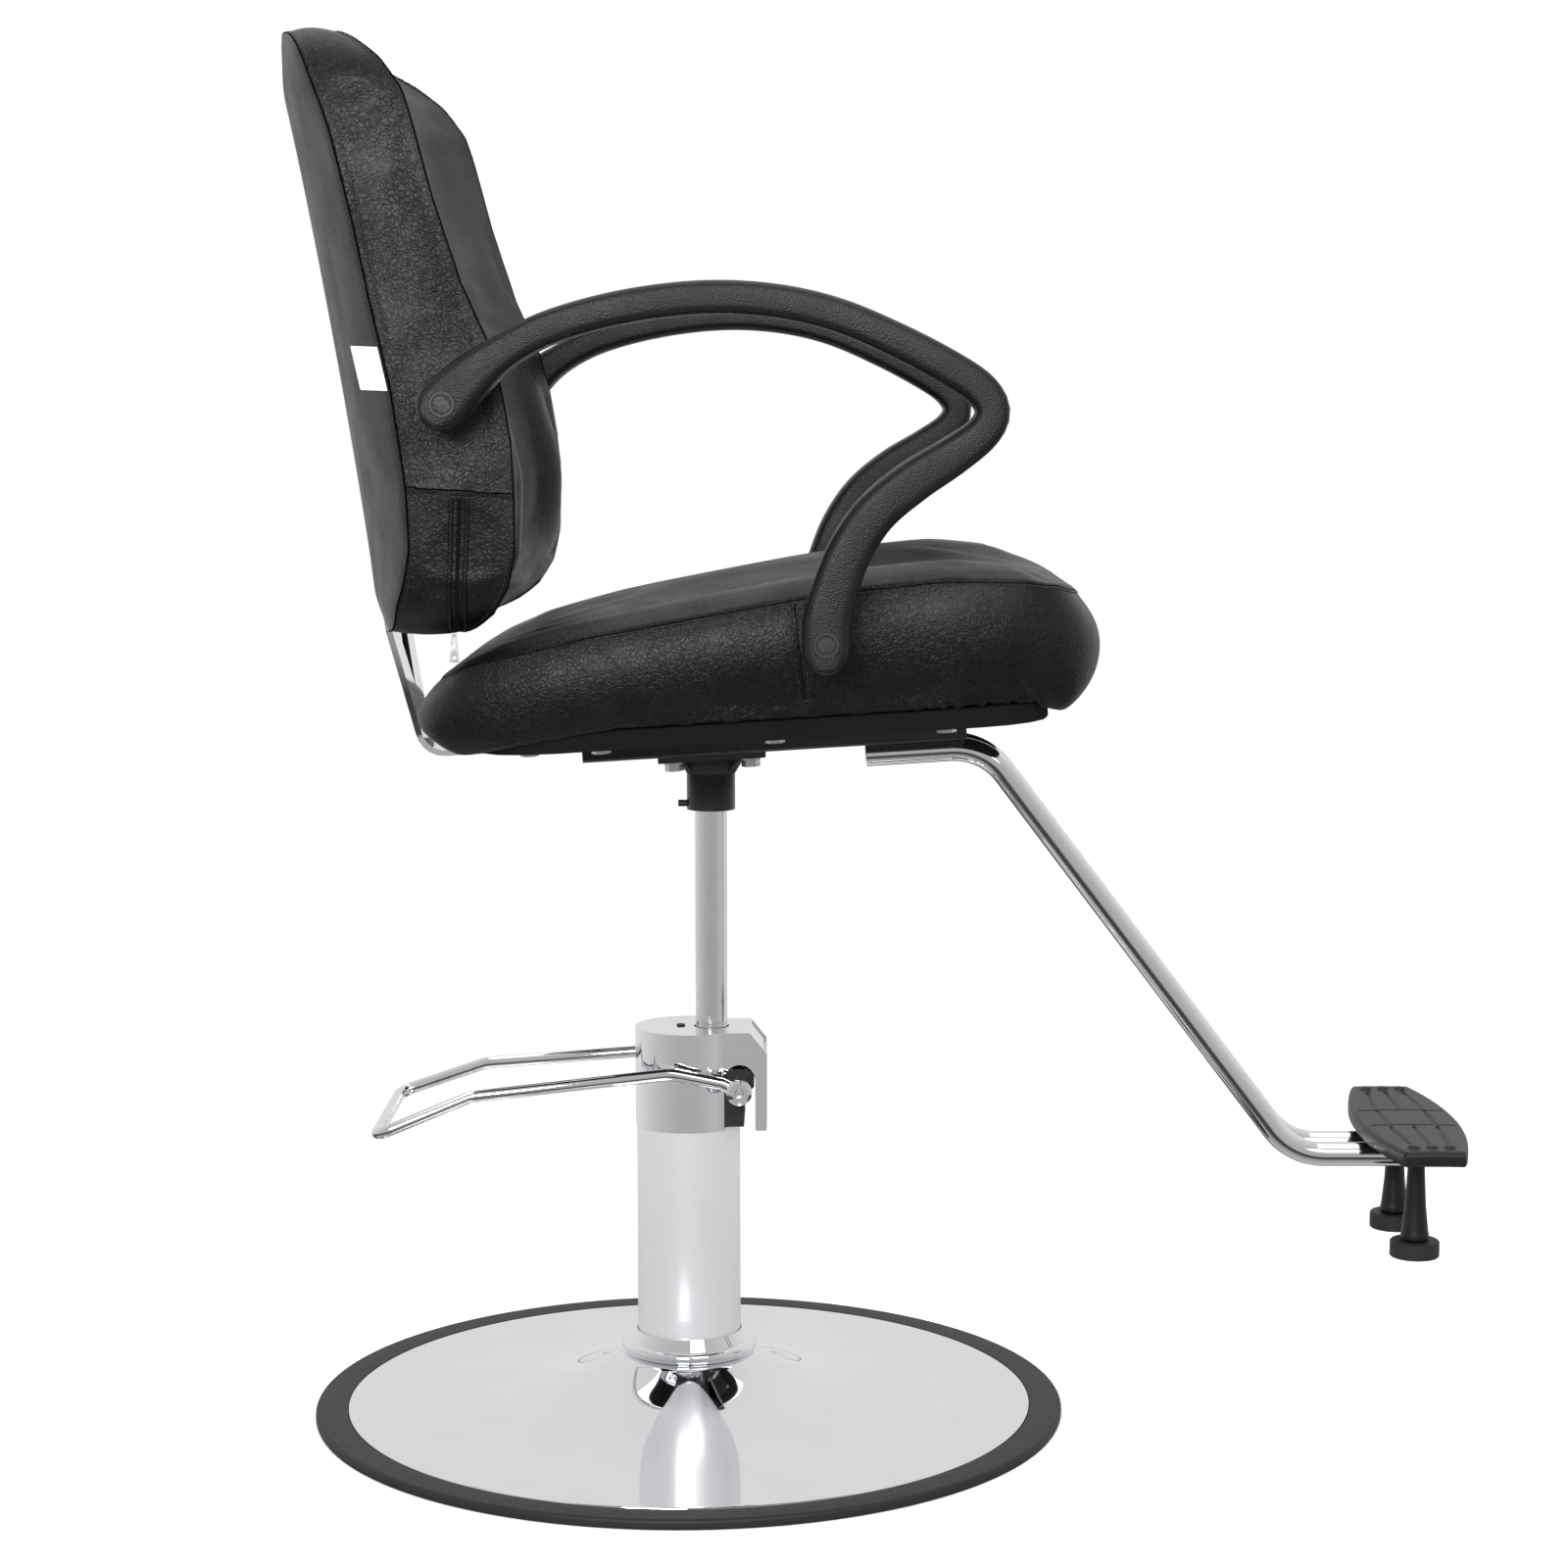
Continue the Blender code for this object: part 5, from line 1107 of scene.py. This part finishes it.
floor_paint = mottled("white studio floor", "#f4f4f4", "#f8f8f8", 400.0, (0.88, 0.92), 0.01,
                      Specular_IOR_Level=0.0, Emission_Strength=0.38,
                      Emission_Color=(1.0, 1.0, 1.0, 1.0))
floor_shape = bmesh.new()
bmesh.ops.create_grid(floor_shape, x_segments=2, y_segments=2, size=30.0)
floor_mesh = bpy.data.meshes.new("studio_floor")
floor_shape.to_mesh(floor_mesh)
floor_shape.free()
floor_mesh.materials.append(floor_paint)
floor = bpy.data.objects.new("studio_floor", floor_mesh)
floor.location.z = -0.0002
bpy.context.scene.collection.objects.link(floor)
floor.visible_glossy = False      # bright metal shows the room, not the floor

world = bpy.data.worlds.new("studio")
bpy.context.scene.world = world
world.use_nodes = True
way = add(world, "TexCoord").outputs["Generated"]
split = add(world, "SeparateXYZ", {0: way}).outputs
depth_ramp = add(world, "MapRange", {"Value": split["Y"], "From Min": -1.0, "From Max": 0.6,
                                     "To Min": 0.46, "To Max": 0.80})    # darker towards the camera
lift = add(world, "MapRange", {"Value": split["Z"], "From Min": -1.0})
below = add(world, "ValToRGB", {"Fac": lift.outputs["Result"]})    # a dark band under the horizon
ramp = below.color_ramp
ramp.elements[0].position, ramp.elements[0].color = 0.0, (0.75, 0.75, 0.75, 1.0)
ramp.elements[1].position, ramp.elements[1].color = 0.39, (1.0, 1.0, 1.0, 1.0)
for spot, level in ((0.12, 0.60), (0.20, 0.10), (0.30, 0.14)):
    ramp.elements.new(spot).color = (level, level, level, 1.0)
shade = add(world, "Math", {0: depth_ramp.outputs["Result"], 1: below.outputs["Color"]},
            operation="MULTIPLY")
seen = add(world, "LightPath").outputs["Is Camera Ray"]
plain = add(world, "Mix", {"Factor": seen, "A": shade.outputs["Value"], "B": 1.0})
fill(world, world.node_tree.nodes["Background"],
     {"Color": (1.0, 1.0, 1.0, 1.0), "Strength": plain.outputs["Result"]})


def area_light(name, place, target, size, power):
    """A soft box that faces a point."""
    lamp = bpy.data.lights.new(name, "AREA")
    lamp.shape = "RECTANGLE"
    lamp.size, lamp.size_y = size
    lamp.energy = power
    item = bpy.data.objects.new(name, lamp)
    item.location = place
    item.rotation_euler = (Vector(target) - Vector(place)).to_track_quat("-Z", "Y").to_euler()
    bpy.context.scene.collection.objects.link(item)


area_light("key", (0.9, -2.3, 2.1), (-0.15, 0.0, 0.75), (1.3, 1.3), 20.0)
area_light("front", (-0.45, -2.75, 1.36), (-0.20, 0.0, 0.95), (1.0, 0.62), 46.0)
area_light("top", (0.1, 0.2, 3.0), (0.1, 0.0, 0.0), (2.6, 2.6), 24.0)

eye = bpy.data.cameras.new("camera")
eye.sensor_width = 36.0
eye.lens = 3367.33 / 1600 * eye.sensor_width
camera = bpy.data.objects.new("camera", eye)
camera.location = (0.08911, -2.59722, 0.80986)
camera.rotation_euler = (math.radians(90.0 - 6.657), 0.0, math.radians(0.2807))
bpy.context.scene.collection.objects.link(camera)
bpy.context.scene.camera = camera
bpy.context.scene.view_settings.view_transform = "Standard"
